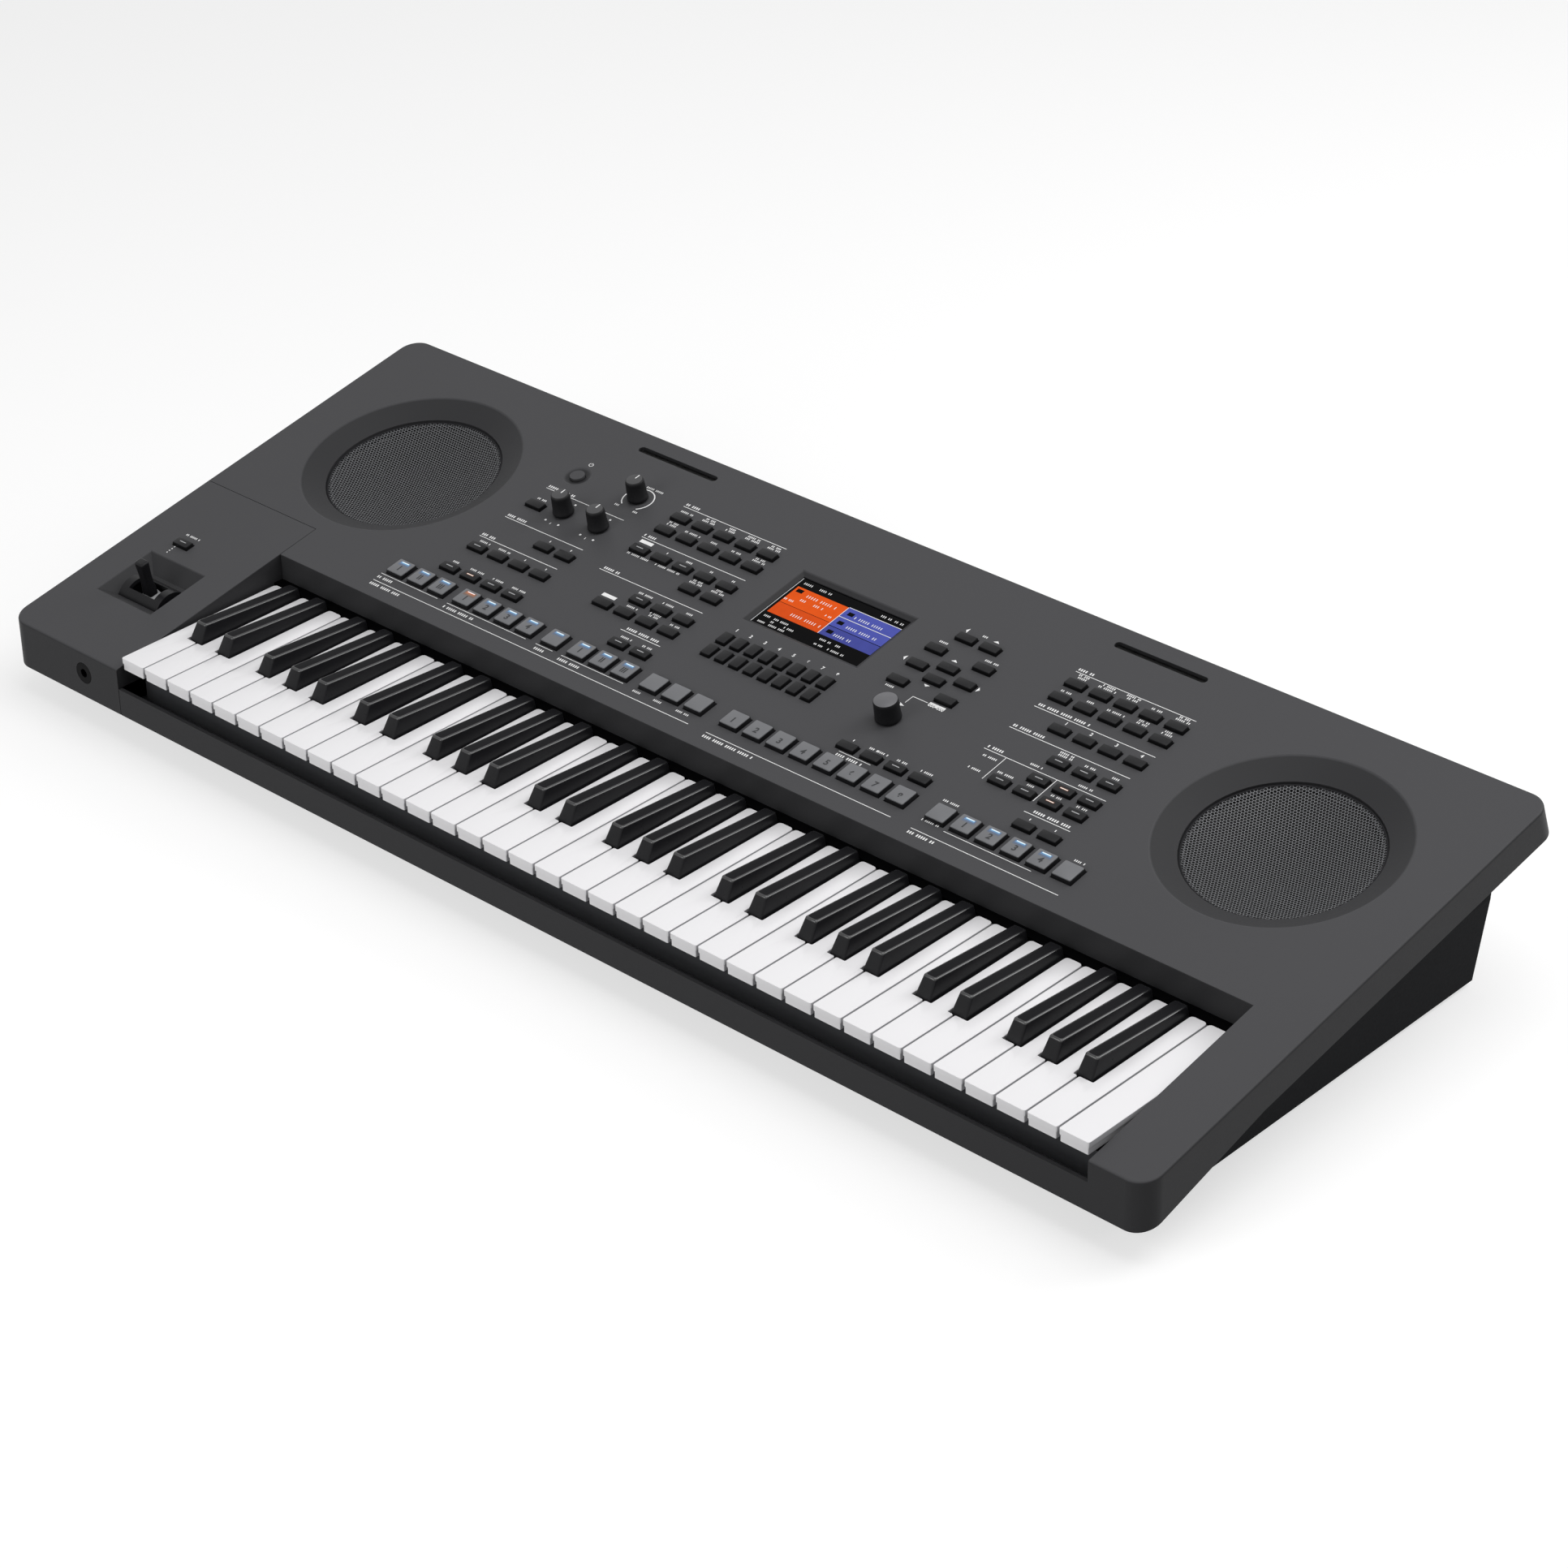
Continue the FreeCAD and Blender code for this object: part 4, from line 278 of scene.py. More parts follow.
# Stage: the lamps' places, shares of the lamp power and widths, and the photograph's viewpoint as azimuth,
# elevation and roll in degrees, in metres from the keyboard's middle
FLOOR_HALF = 20.0
FLOOR_LIFT = 0.62
SKY_LIGHT, SKY_SHOWN = 0.25, 1.0
LAMPS = {"overhead_softbox": ((0.55, 0.2, 2.2), 1.0, 2.0), "rear_panel": ((1.0, 1.5, 1.3), 0.57, 1.2),
         "front_softbox": ((-0.4, -2.0, 1.1), 0.57, 1.2)}
CAMERA_PLACE = (1.65655, -1.71746, 1.46276)
CAMERA_TURN = (43.175, 30.957, 0.9329)
CAMERA_LENS, SENSOR = 97.04, 36.0


def linear(hex_colour):
    """An sRGB hex colour as linear red, green and blue.

    A channel c becomes c / 12.92 in the darks, else ((c + 0.055) / 1.055)^2.4."""
    srgb = np.array([int(hex_colour[k:k + 2], 16) for k in (1, 3, 5)]) / 255
    return np.where(srgb <= 0.04045, srgb / 12.92, ((srgb + 0.055) / 1.055) ** 2.4).tolist()


def colour_of(name, description, hex_colour):
    """A colour that a user would change."""
    return FloatVectorProperty(name=name, description=description, size=3, subtype="COLOR", min=0, max=1,
                               default=linear(hex_colour))


def length_of(name, description, least, most, usual):
    """A length that a user would change, given in millimetres."""
    return FloatProperty(name=name, description=description, unit="LENGTH", subtype="DISTANCE",
                         min=least * MM, max=most * MM, default=usual * MM)


class KeyboardLooks(bpy.types.PropertyGroup):
    """Sizes and colours that a user would change."""
    case_colour: colour_of("Case", "Colour of the upper case and the left panel", "#49494b")
    base_colour: colour_of("Base", "Colour of the lower case", "#0b0c0f")
    white_colour: colour_of("White keys", "Colour of the white keys", "#f2f1f3")
    black_colour: colour_of("Black keys", "Colour of the black keys", "#19191b")
    pad_colour: colour_of("Pads", "Colour of the square pads", "#66676a")
    button_colour: colour_of("Buttons", "Colour of the small buttons", "#161618")
    light_colour: colour_of("Pad lights", "Colour of the lit bars on the pads", "#8ed6f6")
    amber_colour: colour_of("Amber lights", "Colour of the amber indicators", "#f0895c")
    ink_colour: colour_of("Ink", "Colour of the rules and numbers printed on the panel", "#f2f2f2")
    key_round: length_of("Key edge", "Radius of the white keys' edges", 0.2, 1.5, 0.35)
    black_round: length_of("Black key edge", "Radius of the black keys' top edges", 0.5, 2.0, 1.3)
    rule_width: length_of("Rule", "Width of the rules printed on the panel", 0.3, 2.0, 0.5)
    grille_pitch: length_of("Grille pitch", "Distance between the grilles' holes", 1.8, 6.0, 2.3)
    lamp_power: FloatProperty(name="Lamp", description="Power of the large lamp over the keyboard",
                              unit="POWER", min=0, default=27.0)


def on_panel(points):
    """Panel places in millimetres to the shared frame in metres: foot + across X + back B + up U."""
    points = np.asarray(points, float) * MM
    return (PANEL_FOOT + points[..., :1] * ACROSS + points[..., 1:2] * PANEL_BACK
            + points[..., 2:] * PANEL_UP)


def on_keys(points):
    """Key places in millimetres to the shared frame in metres, from the lowest key's corner."""
    return KEY_CORNER + np.asarray(points, float) * MM


def loft(rings, close_first=True, close_last=True):
    """Skin of a stack of closed rings: face (i, j) joins points j and j + 1 of rings i and i + 1."""
    levels, count = rings.shape[:2]
    grid = np.arange(levels * count).reshape(levels, count)
    after = np.roll(grid, -1, axis=1)
    faces = [np.stack([grid[:-1], after[:-1], after[1:], grid[1:]], -1).reshape(-1, 4)]
    if close_last:
        faces.append(grid[-1:])
    if close_first:
        faces.append(grid[:1, ::-1])
    return rings.reshape(-1, 3), faces


def rounded_rings(levels, steps=4):
    """Rings of rounded rectangles, one for each (left, right, front, rear, corner radius, height).

    A point is its corner's centre plus the radius times the cosine and sine of an angle that runs once
    round in equal steps at each corner."""
    left, right, front, rear, radius, height = np.asarray(levels, float).T
    angle = np.radians(np.arange(4)[:, None] * 90 + np.linspace(0, 90, steps))
    middle_x = np.stack([right - radius, left + radius, left + radius, right - radius], 1)
    middle_y = np.stack([rear - radius, rear - radius, front + radius, front + radius], 1)
    x = middle_x[:, :, None] + radius[:, None, None] * np.cos(angle)
    y = middle_y[:, :, None] + radius[:, None, None] * np.sin(angle)
    z = np.broadcast_to(height[:, None, None], x.shape)
    return np.stack([x, y, z], -1).reshape(len(left), -1, 3)


def edge_round(radius, steps=4):
    """A quarter round as (inset, drop): radius times (1 - cos a, 1 - sin a), a from 0 to 90 degrees."""
    angle = np.radians(np.linspace(0, 90, steps))
    return np.stack([radius * (1 - np.cos(angle)), radius * (1 - np.sin(angle))], 1)


def rounded_outline(corners, radii, steps=4):
    """A closed outline of square corners, each turned on its own radius, with the outward normals.

    At a corner p between the directions u (in) and v (out) the arc's centre is p - r u + r v, and a point is
    that centre - r v cos a + r u sin a. The normal points from the centre on an outer corner, to it on an
    inner one."""
    corners = np.asarray(corners, float)
    going = np.roll(corners, -1, axis=0) - corners
    v = going / np.linalg.norm(going, axis=1, keepdims=True)
    u = np.roll(v, 1, axis=0)
    radii = np.asarray(radii, float)[:, None]
    angle = np.radians(np.linspace(0, 90, steps))[None, :, None]
    spoke = -v[:, None] * np.cos(angle) + u[:, None] * np.sin(angle)
    centre = corners - radii * u + radii * v
    points = centre[:, None] + radii[:, None] * spoke
    outer = np.sign(u[:, 0] * v[:, 1] - u[:, 1] * v[:, 0])[:, None, None]
    return points.reshape(-1, 2), (spoke * outer).reshape(-1, 2)


def turned(profile, steps=48):
    """A turned shape about the upright axis: each (radius, height) of the profile becomes a ring."""
    profile = np.asarray(profile, float)
    angle = np.arange(steps) * 2 * np.pi / steps
    ring = np.stack([np.cos(angle), np.sin(angle), np.zeros(steps)], -1)
    return loft(profile[:, :1, None] * ring + profile[:, 1, None, None] * np.array([0, 0, 1.0]))


def strokes(lines, width, rise=PRINT_RISE):
    """Flat strokes: each line (x0, y0, x1, y1) is a rectangle, half the width to each side of it."""
    lines = np.asarray(lines, float).reshape(-1, 4)
    start, end = lines[:, :2], lines[:, 2:]
    run = end - start
    side = np.stack([-run[:, 1], run[:, 0]], 1) / np.linalg.norm(run, axis=1, keepdims=True) * width / 2
    flat = np.stack([start - side, end - side, end + side, start + side], 1).reshape(-1, 2)
    return np.column_stack([flat, np.full(len(flat), rise)]), [np.arange(len(flat)).reshape(-1, 4)]


def arc_lines(x, y, radius, first, last, steps=24):
    """An arc as short lines between points on a circle at equal angles in degrees."""
    angle = np.radians(np.linspace(first, last, steps + 1))
    points = np.stack([x + radius * np.cos(angle), y + radius * np.sin(angle)], 1)
    return np.hstack([points[:-1], points[1:]])


def arrowheads(places, size, rise=PRINT_RISE):
    """Flat triangles: each points along its angle, half its size ahead of its place.

    Its base is 0.3 of the size behind and reaches one size to each side."""
    places = np.asarray(places, float)
    angle = np.radians(places[:, 2:])
    ahead, aside = size * np.array([[0.5, -0.3, -0.3], [0, 1.0, -1.0]])
    x = places[:, :1] + ahead * np.cos(angle) - aside * np.sin(angle)
    y = places[:, 1:2] + ahead * np.sin(angle) + aside * np.cos(angle)
    points = np.stack([x, y, np.full_like(x, rise)], -1).reshape(-1, 3)
    return points, [np.arange(len(points)).reshape(-1, 3)]


def words(left, back, length, height, seed=0):
    """Bare marks in the place of words: upright lines 0.8 of their height apart, every sixth left out."""
    step = 0.8 * height
    count = np.arange(max(round(length / step), 1))
    count = count[(count + seed) % 6 != 5]
    x = left + (count + 0.5) * step
    y = np.full(len(count), back)
    return np.stack([x, y - height / 2, x, y + height / 2], 1)


def numeral(text, height, rise):
    """A number set in the built-in face, as flat triangles centred on the origin, in millimetres.

    The face's figures are 1 / 1.38 of its size high, and are thickened by 0.04 of their height."""
    curve = bpy.data.curves.new(text, "FONT")
    curve.body = text
    curve.size = height * 1.38
    curve.offset = 0.04 * height
    curve.align_x = "CENTER"
    curve.align_y = "CENTER"
    carrier = bpy.data.objects.new(text, curve)
    mesh = bpy.data.meshes.new_from_object(carrier)
    mesh.calc_loop_triangles()
    points = np.zeros(len(mesh.vertices) * 3)
    mesh.vertices.foreach_get("co", points)
    faces = np.zeros(len(mesh.loop_triangles) * 3, int)
    mesh.loop_triangles.foreach_get("vertices", faces)
    bpy.data.objects.remove(carrier)
    bpy.data.curves.remove(curve)
    bpy.data.meshes.remove(mesh)
    return points.reshape(-1, 3) + (0, 0, rise), [faces.reshape(-1, 3)]


def repeated(shape, places):
    """Copies of a shape, its points moved to each place (x, y) or (x, y, z)."""
    points, faces = shape
    places = np.asarray(places, float)
    moves = np.zeros((len(places), 3))
    moves[:, :places.shape[1]] = places
    steps = np.arange(len(places)) * len(points)
    copies = (points[None] + moves[:, None]).reshape(-1, 3)
    return copies, [(face[None] + steps[:, None, None]).reshape(-1, face.shape[1]) for face in faces]


def piece(name, body, place, shapes, stands_for=()):
    """One object of (points and faces, finish) shapes that rides on a body, smooth up to the crease angle.

    Place turns its points from millimetres to the shared frame. A shape has one finish, or a tuple with one
    for each group of its faces."""
    shapes = [(points, faces, finish if isinstance(finish, tuple) else (finish,) * len(faces))
              for (points, faces), finish in shapes]
    finishes = list(dict.fromkeys(coat for _, _, coats in shapes for coat in coats))
    mesh = bpy.data.meshes.new(name)
    every_face, every_finish, start = [], [], 0
    for points, faces, coats in shapes:
        for face, coat in zip(faces, coats):
            every_face += (face + start).tolist()
            every_finish += [finishes.index(coat)] * len(face)
        start += len(points)
    mesh.from_pydata(place(np.concatenate([points for points, _, _ in shapes])).tolist(), [], every_face)
    for finish in finishes:
        mesh.materials.append(finish)
    mesh.polygons.foreach_set("material_index", every_finish)
    mesh.shade_smooth()
    mesh.set_sharp_from_angle(angle=CREASE)
    made = bpy.data.objects.new(name, mesh)
    bpy.context.scene.collection.objects.link(made)
    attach(made, body)
    if stands_for:
        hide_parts(*stands_for)


def dress(nodes, finish):
    """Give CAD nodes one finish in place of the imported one."""
    for node in nodes:
        materials = frame["nodes"][node].data.materials
        materials.clear()
        materials.append(finish)


def add_node(tree, kind, inputs=None, **settings):
    """Add a node: settings are its own properties, an input is a value or another node's output to link."""
    node = tree.nodes.new(kind)
    for key, setting in settings.items():
        setattr(node, key, setting)
    for key, source in (inputs or {}).items():
        if isinstance(source, bpy.types.NodeSocket):
            tree.links.new(source, node.inputs[key])
        else:
            node.inputs[key].default_value = source
    return node


def surface(name, colour, roughness, grain, relief, mottle=0.06, patch=45.0, spread=0.06, **sockets):
    """A solid finish: colour in faint broad patches, roughness in finer ones, and a bump of the grain.

    Grain, relief and patch are millimetres; mottle and spread are the shares by which colour and roughness
    vary. Other sockets of the shader are set as they are given, with _ for a space."""
    found = bpy.data.materials.get(name)
    if found:
        return found
    material = bpy.data.materials.new(name)
    material.use_nodes = True
    tree = material.node_tree
    shader = tree.nodes["Principled BSDF"]
    place = add_node(tree, "ShaderNodeTexCoord").outputs["Object"]
    patches = add_node(tree, "ShaderNodeTexNoise", {"Vector": place, "Scale": 1 / (patch * MM), "Detail": 3.0})
    tone = add_node(tree, "ShaderNodeMapRange",
                    {"Value": patches.outputs["Fac"], "To Min": 1 - mottle, "To Max": 1 + mottle})
    tint = add_node(tree, "ShaderNodeVectorMath",
                    {"Vector": tuple(colour)[:3], "Scale": tone.outputs["Result"]}, operation="SCALE")
    grains = add_node(tree, "ShaderNodeTexNoise", {"Vector": place, "Scale": 1 / (grain * MM), "Detail": 2.0})
    polish = add_node(tree, "ShaderNodeMapRange", {"Value": grains.outputs["Fac"], "To Min": roughness - spread,
                                                   "To Max": roughness + spread})
    bump = add_node(tree, "ShaderNodeBump",
                    {"Height": grains.outputs["Fac"], "Distance": relief * MM, "Strength": 1.0})
    tree.links.new(tint.outputs["Vector"], shader.inputs["Base Color"])
    tree.links.new(polish.outputs["Result"], shader.inputs["Roughness"])
    tree.links.new(bump.outputs["Normal"], shader.inputs["Normal"])
    for key, setting in sockets.items():
        shader.inputs[key.replace("_", " ")].default_value = setting
    return material


def glow(name, colour, patch=4.8):
    """A lit diffuser: dark behind, its light faintly uneven in patches of that many millimetres."""
    material = bpy.data.materials.new(name)
    material.use_nodes = True
    tree = material.node_tree
    shader = tree.nodes["Principled BSDF"]
    shader.inputs["Base Color"].default_value = (0.004, 0.004, 0.004, 1)
    shader.inputs["Roughness"].default_value = 0.3
    shader.inputs["Specular IOR Level"].default_value = 0.02
    shader.inputs["Emission Strength"].default_value = 1.0
    place = add_node(tree, "ShaderNodeTexCoord").outputs["Object"]
    patches = add_node(tree, "ShaderNodeTexNoise", {"Vector": place, "Scale": 1 / (patch * MM)})
    level = add_node(tree, "ShaderNodeMapRange",
                     {"Value": patches.outputs["Fac"], "To Min": 0.88, "To Max": 1.08})
    light = add_node(tree, "ShaderNodeVectorMath",
                     {"Vector": tuple(colour)[:3], "Scale": level.outputs["Result"]}, operation="SCALE")
    tree.links.new(light.outputs["Vector"], shader.inputs["Emission Color"])
    return material


def panel_ink(looks):
    """Screen-printed ink: a thin matt film, a little broken where it lies on the panel's grain."""
    return surface("screen_printed_white_ink", looks.ink_colour, 0.55, 0.8, 0.004, mottle=0.08, patch=6.0)


def looks_of(context):
    """The scene's own sizes and colours."""
    return context.scene.keyboard_looks


def paint_wall_shade(case):
    """Paint shade into the case's finish below the panel's face: its walls and dishes are darkened, as painted
    shade where less light reaches them.

    A place's height over the face is its dot product with the panel's normal, less that of the panel's foot;
    the tone falls just below the face, so that a dish has a clear edge."""
    tree = case.node_tree
    tint = next(node for node in tree.nodes if node.bl_idname == "ShaderNodeVectorMath")
    tone = tint.inputs["Scale"].links[0].from_socket
    place = add_node(tree, "ShaderNodeTexCoord").outputs["Object"]
    height = add_node(tree, "ShaderNodeVectorMath", {0: place, 1: tuple(PANEL_UP)}, operation="DOT_PRODUCT")
    face = float(PANEL_FOOT @ PANEL_UP)
    above = add_node(tree, "ShaderNodeMapRange",
                     {"Value": height.outputs["Value"], "From Min": face - SHADE_END * MM,
                      "From Max": face - SHADE_START * MM, "To Min": PAINTED_WALL_SHADE, "To Max": 1.0})
    both = add_node(tree, "ShaderNodeMath", {0: tone, 1: above.outputs["Result"]}, operation="MULTIPLY")
    tree.links.new(both.outputs[0], tint.inputs["Scale"])


class KEYBOARD_OT_case(bpy.types.Operator):
    """Finish the mouldings, the felt, the feet and the sockets, which keep their CAD shapes"""
    bl_idname = "keyboard.case"
    bl_label = "Case"

    def execute(self, context):
        looks = looks_of(context)
        # Spark-eroded ABS: a fine even grain that scatters highlights; drawn at 1.4 mm so that it shows
        case = surface("spark_eroded_abs_charcoal", looks.case_colour, 0.5, 1.4, 0.03, mottle=0.035,
                       patch=140.0, Specular_IOR_Level=0.1)
        dress(["upper_case", "left_control_panel"], case)
        # The case's walls and dishes below the face get painted shade
        paint_wall_shade(case)
        # Matt black ABS: the tray's coarser grain, almost no highlight
        dress(["lower_case"], surface("coarse_grained_abs_black", looks.base_colour, 0.62, 1.8, 0.05,
                                      Specular_IOR_Level=0.05))
        # Natural rubber feet: dull, dusty black
        dress(["rubber_feet"], surface("moulded_rubber_black", linear("#17171a"), 0.85, 0.9, 0.06,
                                       mottle=0.15))
        # Wool felt along the slot, dead black with no highlight: the felt's own dark, made blacker as painted
        # shade where the keys run under the wall
        dress(["key_felts"], surface("black_felt_painted_slot_shade", linear("#080809"), 0.95, 0.7, 0.25, mottle=0.25,
                                     patch=4.0, Specular_IOR_Level=0.0))
        # Glass-filled nylon: the sockets' hard, slightly glossy black
        dress(["jack_sockets"], surface("glass_filled_nylon_black", linear("#050506"), 0.38, 0.6, 0.02,
                                        Specular_IOR_Level=0.04))
        # Tin-plated steel: the ports' shells, bright with a soft grain
        dress(["rear_ports"], surface("tin_plated_steel", linear("#b9babd"), 0.3, 0.8, 0.01, Metallic=1.0))
        return {"FINISHED"}


class KEYBOARD_OT_inner(bpy.types.Operator):
    """Finish the pieces inside the case, which keep their CAD shapes"""
    bl_idname = "keyboard.inner"
    bl_label = "Inner parts"

    def execute(self, context):
        # Solder mask over glass-epoxy: deep green and glossy
        dress(["main_board", "panel_boards", "contact_boards"],
              surface("solder_masked_glass_epoxy", linear("#1d5c3a"), 0.28, 2.0, 0.01, mottle=0.12))
        # Grey moulded ABS: plain chassis work
        dress(["key_frame", "joystick_bracket", "display_module"],
              surface("moulded_abs_grey", linear("#48494c"), 0.5, 1.2, 0.03))
        # Zinc-plated steel: bluish, softly polished
        dress(["key_pivot_rod", "control_pots", "case_screws"],
              surface("zinc_plated_steel", linear("#c3c6cb"), 0.28, 1.0, 0.01, Metallic=1.0))
        # Silicone rubber: pale and waxy
        dress(["contact_rubbers"], surface("silicone_rubber_pale", linear("#cfcdc6"), 0.6, 1.0, 0.02))
        # Pressed steel in black paint
        dress(["speaker_baskets"], surface("black_painted_steel", linear("#18181a"), 0.42, 1.5, 0.02))
        # Treated paper pulp: fibrous and dead black
        dress(["speaker_cones"], surface("treated_paper_black", linear("#121213"), 0.85, 1.2, 0.12, mottle=0.2,
                                         patch=8.0))
        # Sintered ferrite: charcoal grey with a gritty face
        dress(["speaker_magnets"], surface("sintered_ferrite", linear("#3c3d40"), 0.7, 0.9, 0.06,
                                           mottle=0.15))
        return {"FINISHED"}


def white_key(letter, edge):
    """A white key's plate and its low tail behind the slot, from its own left edge.

    The plate is its outline carried up a profile of (inset, height): a set-back skirt, a lip and a rounded
    top edge. Its faces come in groups: the flanks, the other walls and the edges, top and bottom."""
    share, shares, keys = TAILS.get(letter, (KEY_PITCH, 0, 0))
    left, right = KEY_SHOWN_GAP / 2, KEY_PITCH - KEY_SHOWN_GAP / 2
    tail_left = shares * share - keys * KEY_PITCH + KEY_SHOWN_GAP / 2
    tail_right = tail_left + share - KEY_SHOWN_GAP
    corners = [(left, 0, KEY_FRONT_CORNER), (right, 0, KEY_FRONT_CORNER)]
    if right - tail_right > 1:
        corners += [(right, KEY_HEAD, KEY_HEAD_CORNER), (tail_right, KEY_HEAD, KEY_NOTCH_CORNER)]
    corners += [(tail_right, KEY_SHOW, KEY_REAR_CORNER), (tail_left, KEY_SHOW, KEY_REAR_CORNER)]
    if tail_left - left > 1:
        corners += [(tail_left, KEY_HEAD, KEY_NOTCH_CORNER), (left, KEY_HEAD, KEY_HEAD_CORNER)]
    corners = np.array(corners)
    outline, outward = rounded_outline(corners[:, :2], corners[:, 2])
    profile = np.vstack([KEY_SKIRT, edge_round(edge) * (1, -1)])
    flat = outline[None] - profile[:, :1, None] * outward[None]
    heights = np.broadcast_to(profile[:, 1, None, None], flat.shape[:2] + (1,))
    points, (walls, top, bottom) = loft(np.concatenate([flat, heights], -1))
    low, edges = np.split(walls.reshape(len(profile) - 1, -1, 4), [len(KEY_SKIRT)])
    # The flanks take the grey finish that paints shade into the gaps between the keys
    shaded_flanks = np.abs(outward[:, 0] + np.roll(outward[:, 0], -1)) > 1.4
    rest = np.concatenate([low[:, ~shaded_flanks].reshape(-1, 4), edges.reshape(-1, 4)])
    tail = loft(rounded_rings([(tail_left, tail_right, KEY_SHOW - KEY_LAP, KEY_TAIL, KEY_TAIL_CORNER, z)
                               for z in (-KEY_DEPTH, KEY_TAIL_TOP)]))
    return (points, [low[:, shaded_flanks].reshape(-1, 4), rest, top, bottom]), tail


class KEYBOARD_OT_white_keys(bpy.types.Operator):
    """Make the white keys: lipped plates with rounded edges"""
    bl_idname = "keyboard.white_keys"
    bl_label = "White keys"

    def execute(self, context):
        looks = looks_of(context)
        # Injection-moulded ABS with a polished top: clean highlights over a faint waviness
        finish = surface("polished_abs_white", looks.white_colour, 0.24, 9.0, 0.012, mottle=0.012, patch=80.0,
                         spread=0.05)
        # The keys' sides in a grey well below the tops' white: painted shade that keeps the gaps between the
        # keys grey
        painted_gap_shade = surface("white_abs_side_painted_shade", linear("#b9b9bc"), 0.5, 2.0, 0.01, mottle=0.02,
                        Specular_IOR_Level=0.1)
        coats = (painted_gap_shade, finish, finish, finish), finish
        sets = {"white_keys_%s_%d" % (letters, octave + 1): [(letter, 7 * octave + "cdefgab".index(letter))
                                                             for letter in letters]
                for octave in range(OCTAVES) for letters in ("cegb", "dfa")}
        sets["white_key_top_c"] = [("top", 7 * OCTAVES)]
        for node, keys in sets.items():
            shapes = [(repeated(part, [(place * KEY_PITCH, 0)]), coat) for letter, place in keys
                      for part, coat in zip(white_key(letter, looks.key_round / MM), coats)]
            piece(node.replace("keys", "key_tops").replace("key_top_c", "key_top_plate"), node, on_keys, shapes,
                  [node])
        return {"FINISHED"}


def black_key(edge):
    """A black key's cap, in groups of sides, edges, top and bottom, and its low tail, from its middle line.

    The cap is rounded rectangles that lean in at the sides and the front. Its heights are multiplied by a
    share that goes evenly from 1 behind the front slope to the rear share, so the top falls rearward."""
    lean = 1 - edge / BLACK_HEIGHT
    half = BLACK_HALF - (BLACK_HALF - BLACK_TOP_HALF) * lean
    front = BLACK_FRONT + BLACK_SLOPE * lean
    levels = [(-BLACK_HALF, BLACK_HALF, BLACK_FRONT, BLACK_REAR, BLACK_CORNER, z) for z in (-BLACK_DEPTH, 0.0)]
    levels += [(inset - half, half - inset, front + 1.2 * inset, BLACK_REAR - inset, BLACK_TOP_CORNER,
                BLACK_HEIGHT - drop) for inset, drop in edge_round(edge, 6)]
    rings = rounded_rings(levels, 5)
    back = (rings[..., 1] - BLACK_FRONT - BLACK_SLOPE) / (BLACK_REAR - BLACK_FRONT - BLACK_SLOPE)
    share = 1 - (1 - BLACK_REAR_SHARE) * np.clip(back, 0, 1)
    rings[..., 2] *= np.where(rings[..., 2] > 0, share, 1)
    points, (walls, top, bottom) = loft(rings)
    sides, edges = np.split(walls, [2 * rings.shape[1]])
    tail = loft(rounded_rings([(-BLACK_HALF, BLACK_HALF, BLACK_REAR - KEY_LAP, KEY_TAIL, KEY_TAIL_CORNER, z)
                               for z in (-BLACK_DEPTH, KEY_TAIL_TOP)]))
    return (points, [sides, edges, top, bottom]), tail


class KEYBOARD_OT_black_keys(bpy.types.Operator):
    """Make the black keys: tapered caps with rounded top edges, falling to the rear"""
    bl_idname = "keyboard.black_keys"
    bl_label = "Black keys"

    def execute(self, context):
        looks = looks_of(context)
        # Satin-etched ABS: the tops are black, with hardly a highlight
        satin = surface("satin_etched_abs_black", looks.black_colour, 0.45, 1.3, 0.012, mottle=0.05,
                        Specular_IOR_Level=0.03)
        # The smooth sides: a faint grey reflection of the white keys
        smooth = surface("smooth_abs_black", looks.black_colour, 0.3, 1.6, 0.004, mottle=0.05,
                         Specular_IOR_Level=0.16)
        # The polished edges: thin bright lines
        polished = surface("polished_abs_black", looks.black_colour, 0.2, 1.6, 0.004, mottle=0.05,
                           Specular_IOR_Level=0.7)
        coats = (smooth, polished, satin, smooth), satin
        parts = black_key(looks.black_round / MM)
        for octave in range(OCTAVES):
            node = "black_keys_%d" % (octave + 1)
            places = [(place + 7 * octave * KEY_PITCH, 0) for place in BLACK_PLACES]
            piece("black_key_caps_%d" % (octave + 1), node, on_keys,
                  [(repeated(part, places), coat) for part, coat in zip(parts, coats)], [node])
        return {"FINISHED"}


def button_cap(size, edge, corner, draft=0.4, ledge=0.3, plate=0.7, depth=3.0):
    """A push button's body and the plate on it.

    Both are rounded rectangles: the body rises from below the panel, drawn in by the draft, and the plate
    stands a ledge in from the body's top edge and is rounded at its own."""
    width, length, height = size
    half_x, half_y = width / 2 - draft, length / 2 - draft
    body = [(-width / 2, width / 2, -length / 2, length / 2, corner, -depth),
            (-width / 2, width / 2, -length / 2, length / 2, corner, 0.0),
            (-half_x, half_x, -half_y, half_y, corner, height - plate)]
    half_x, half_y = half_x - ledge, half_y - ledge
    top = [(-half_x, half_x, -half_y, half_y, corner, height - plate)]
    top += [(inset - half_x, half_x - inset, inset - half_y, half_y - inset, max(corner - 0.5 * inset, 0.2),
             height - drop) for inset, drop in edge_round(edge, 3)]
    return loft(rounded_rings(body, 3)), loft(rounded_rings(top, 3))


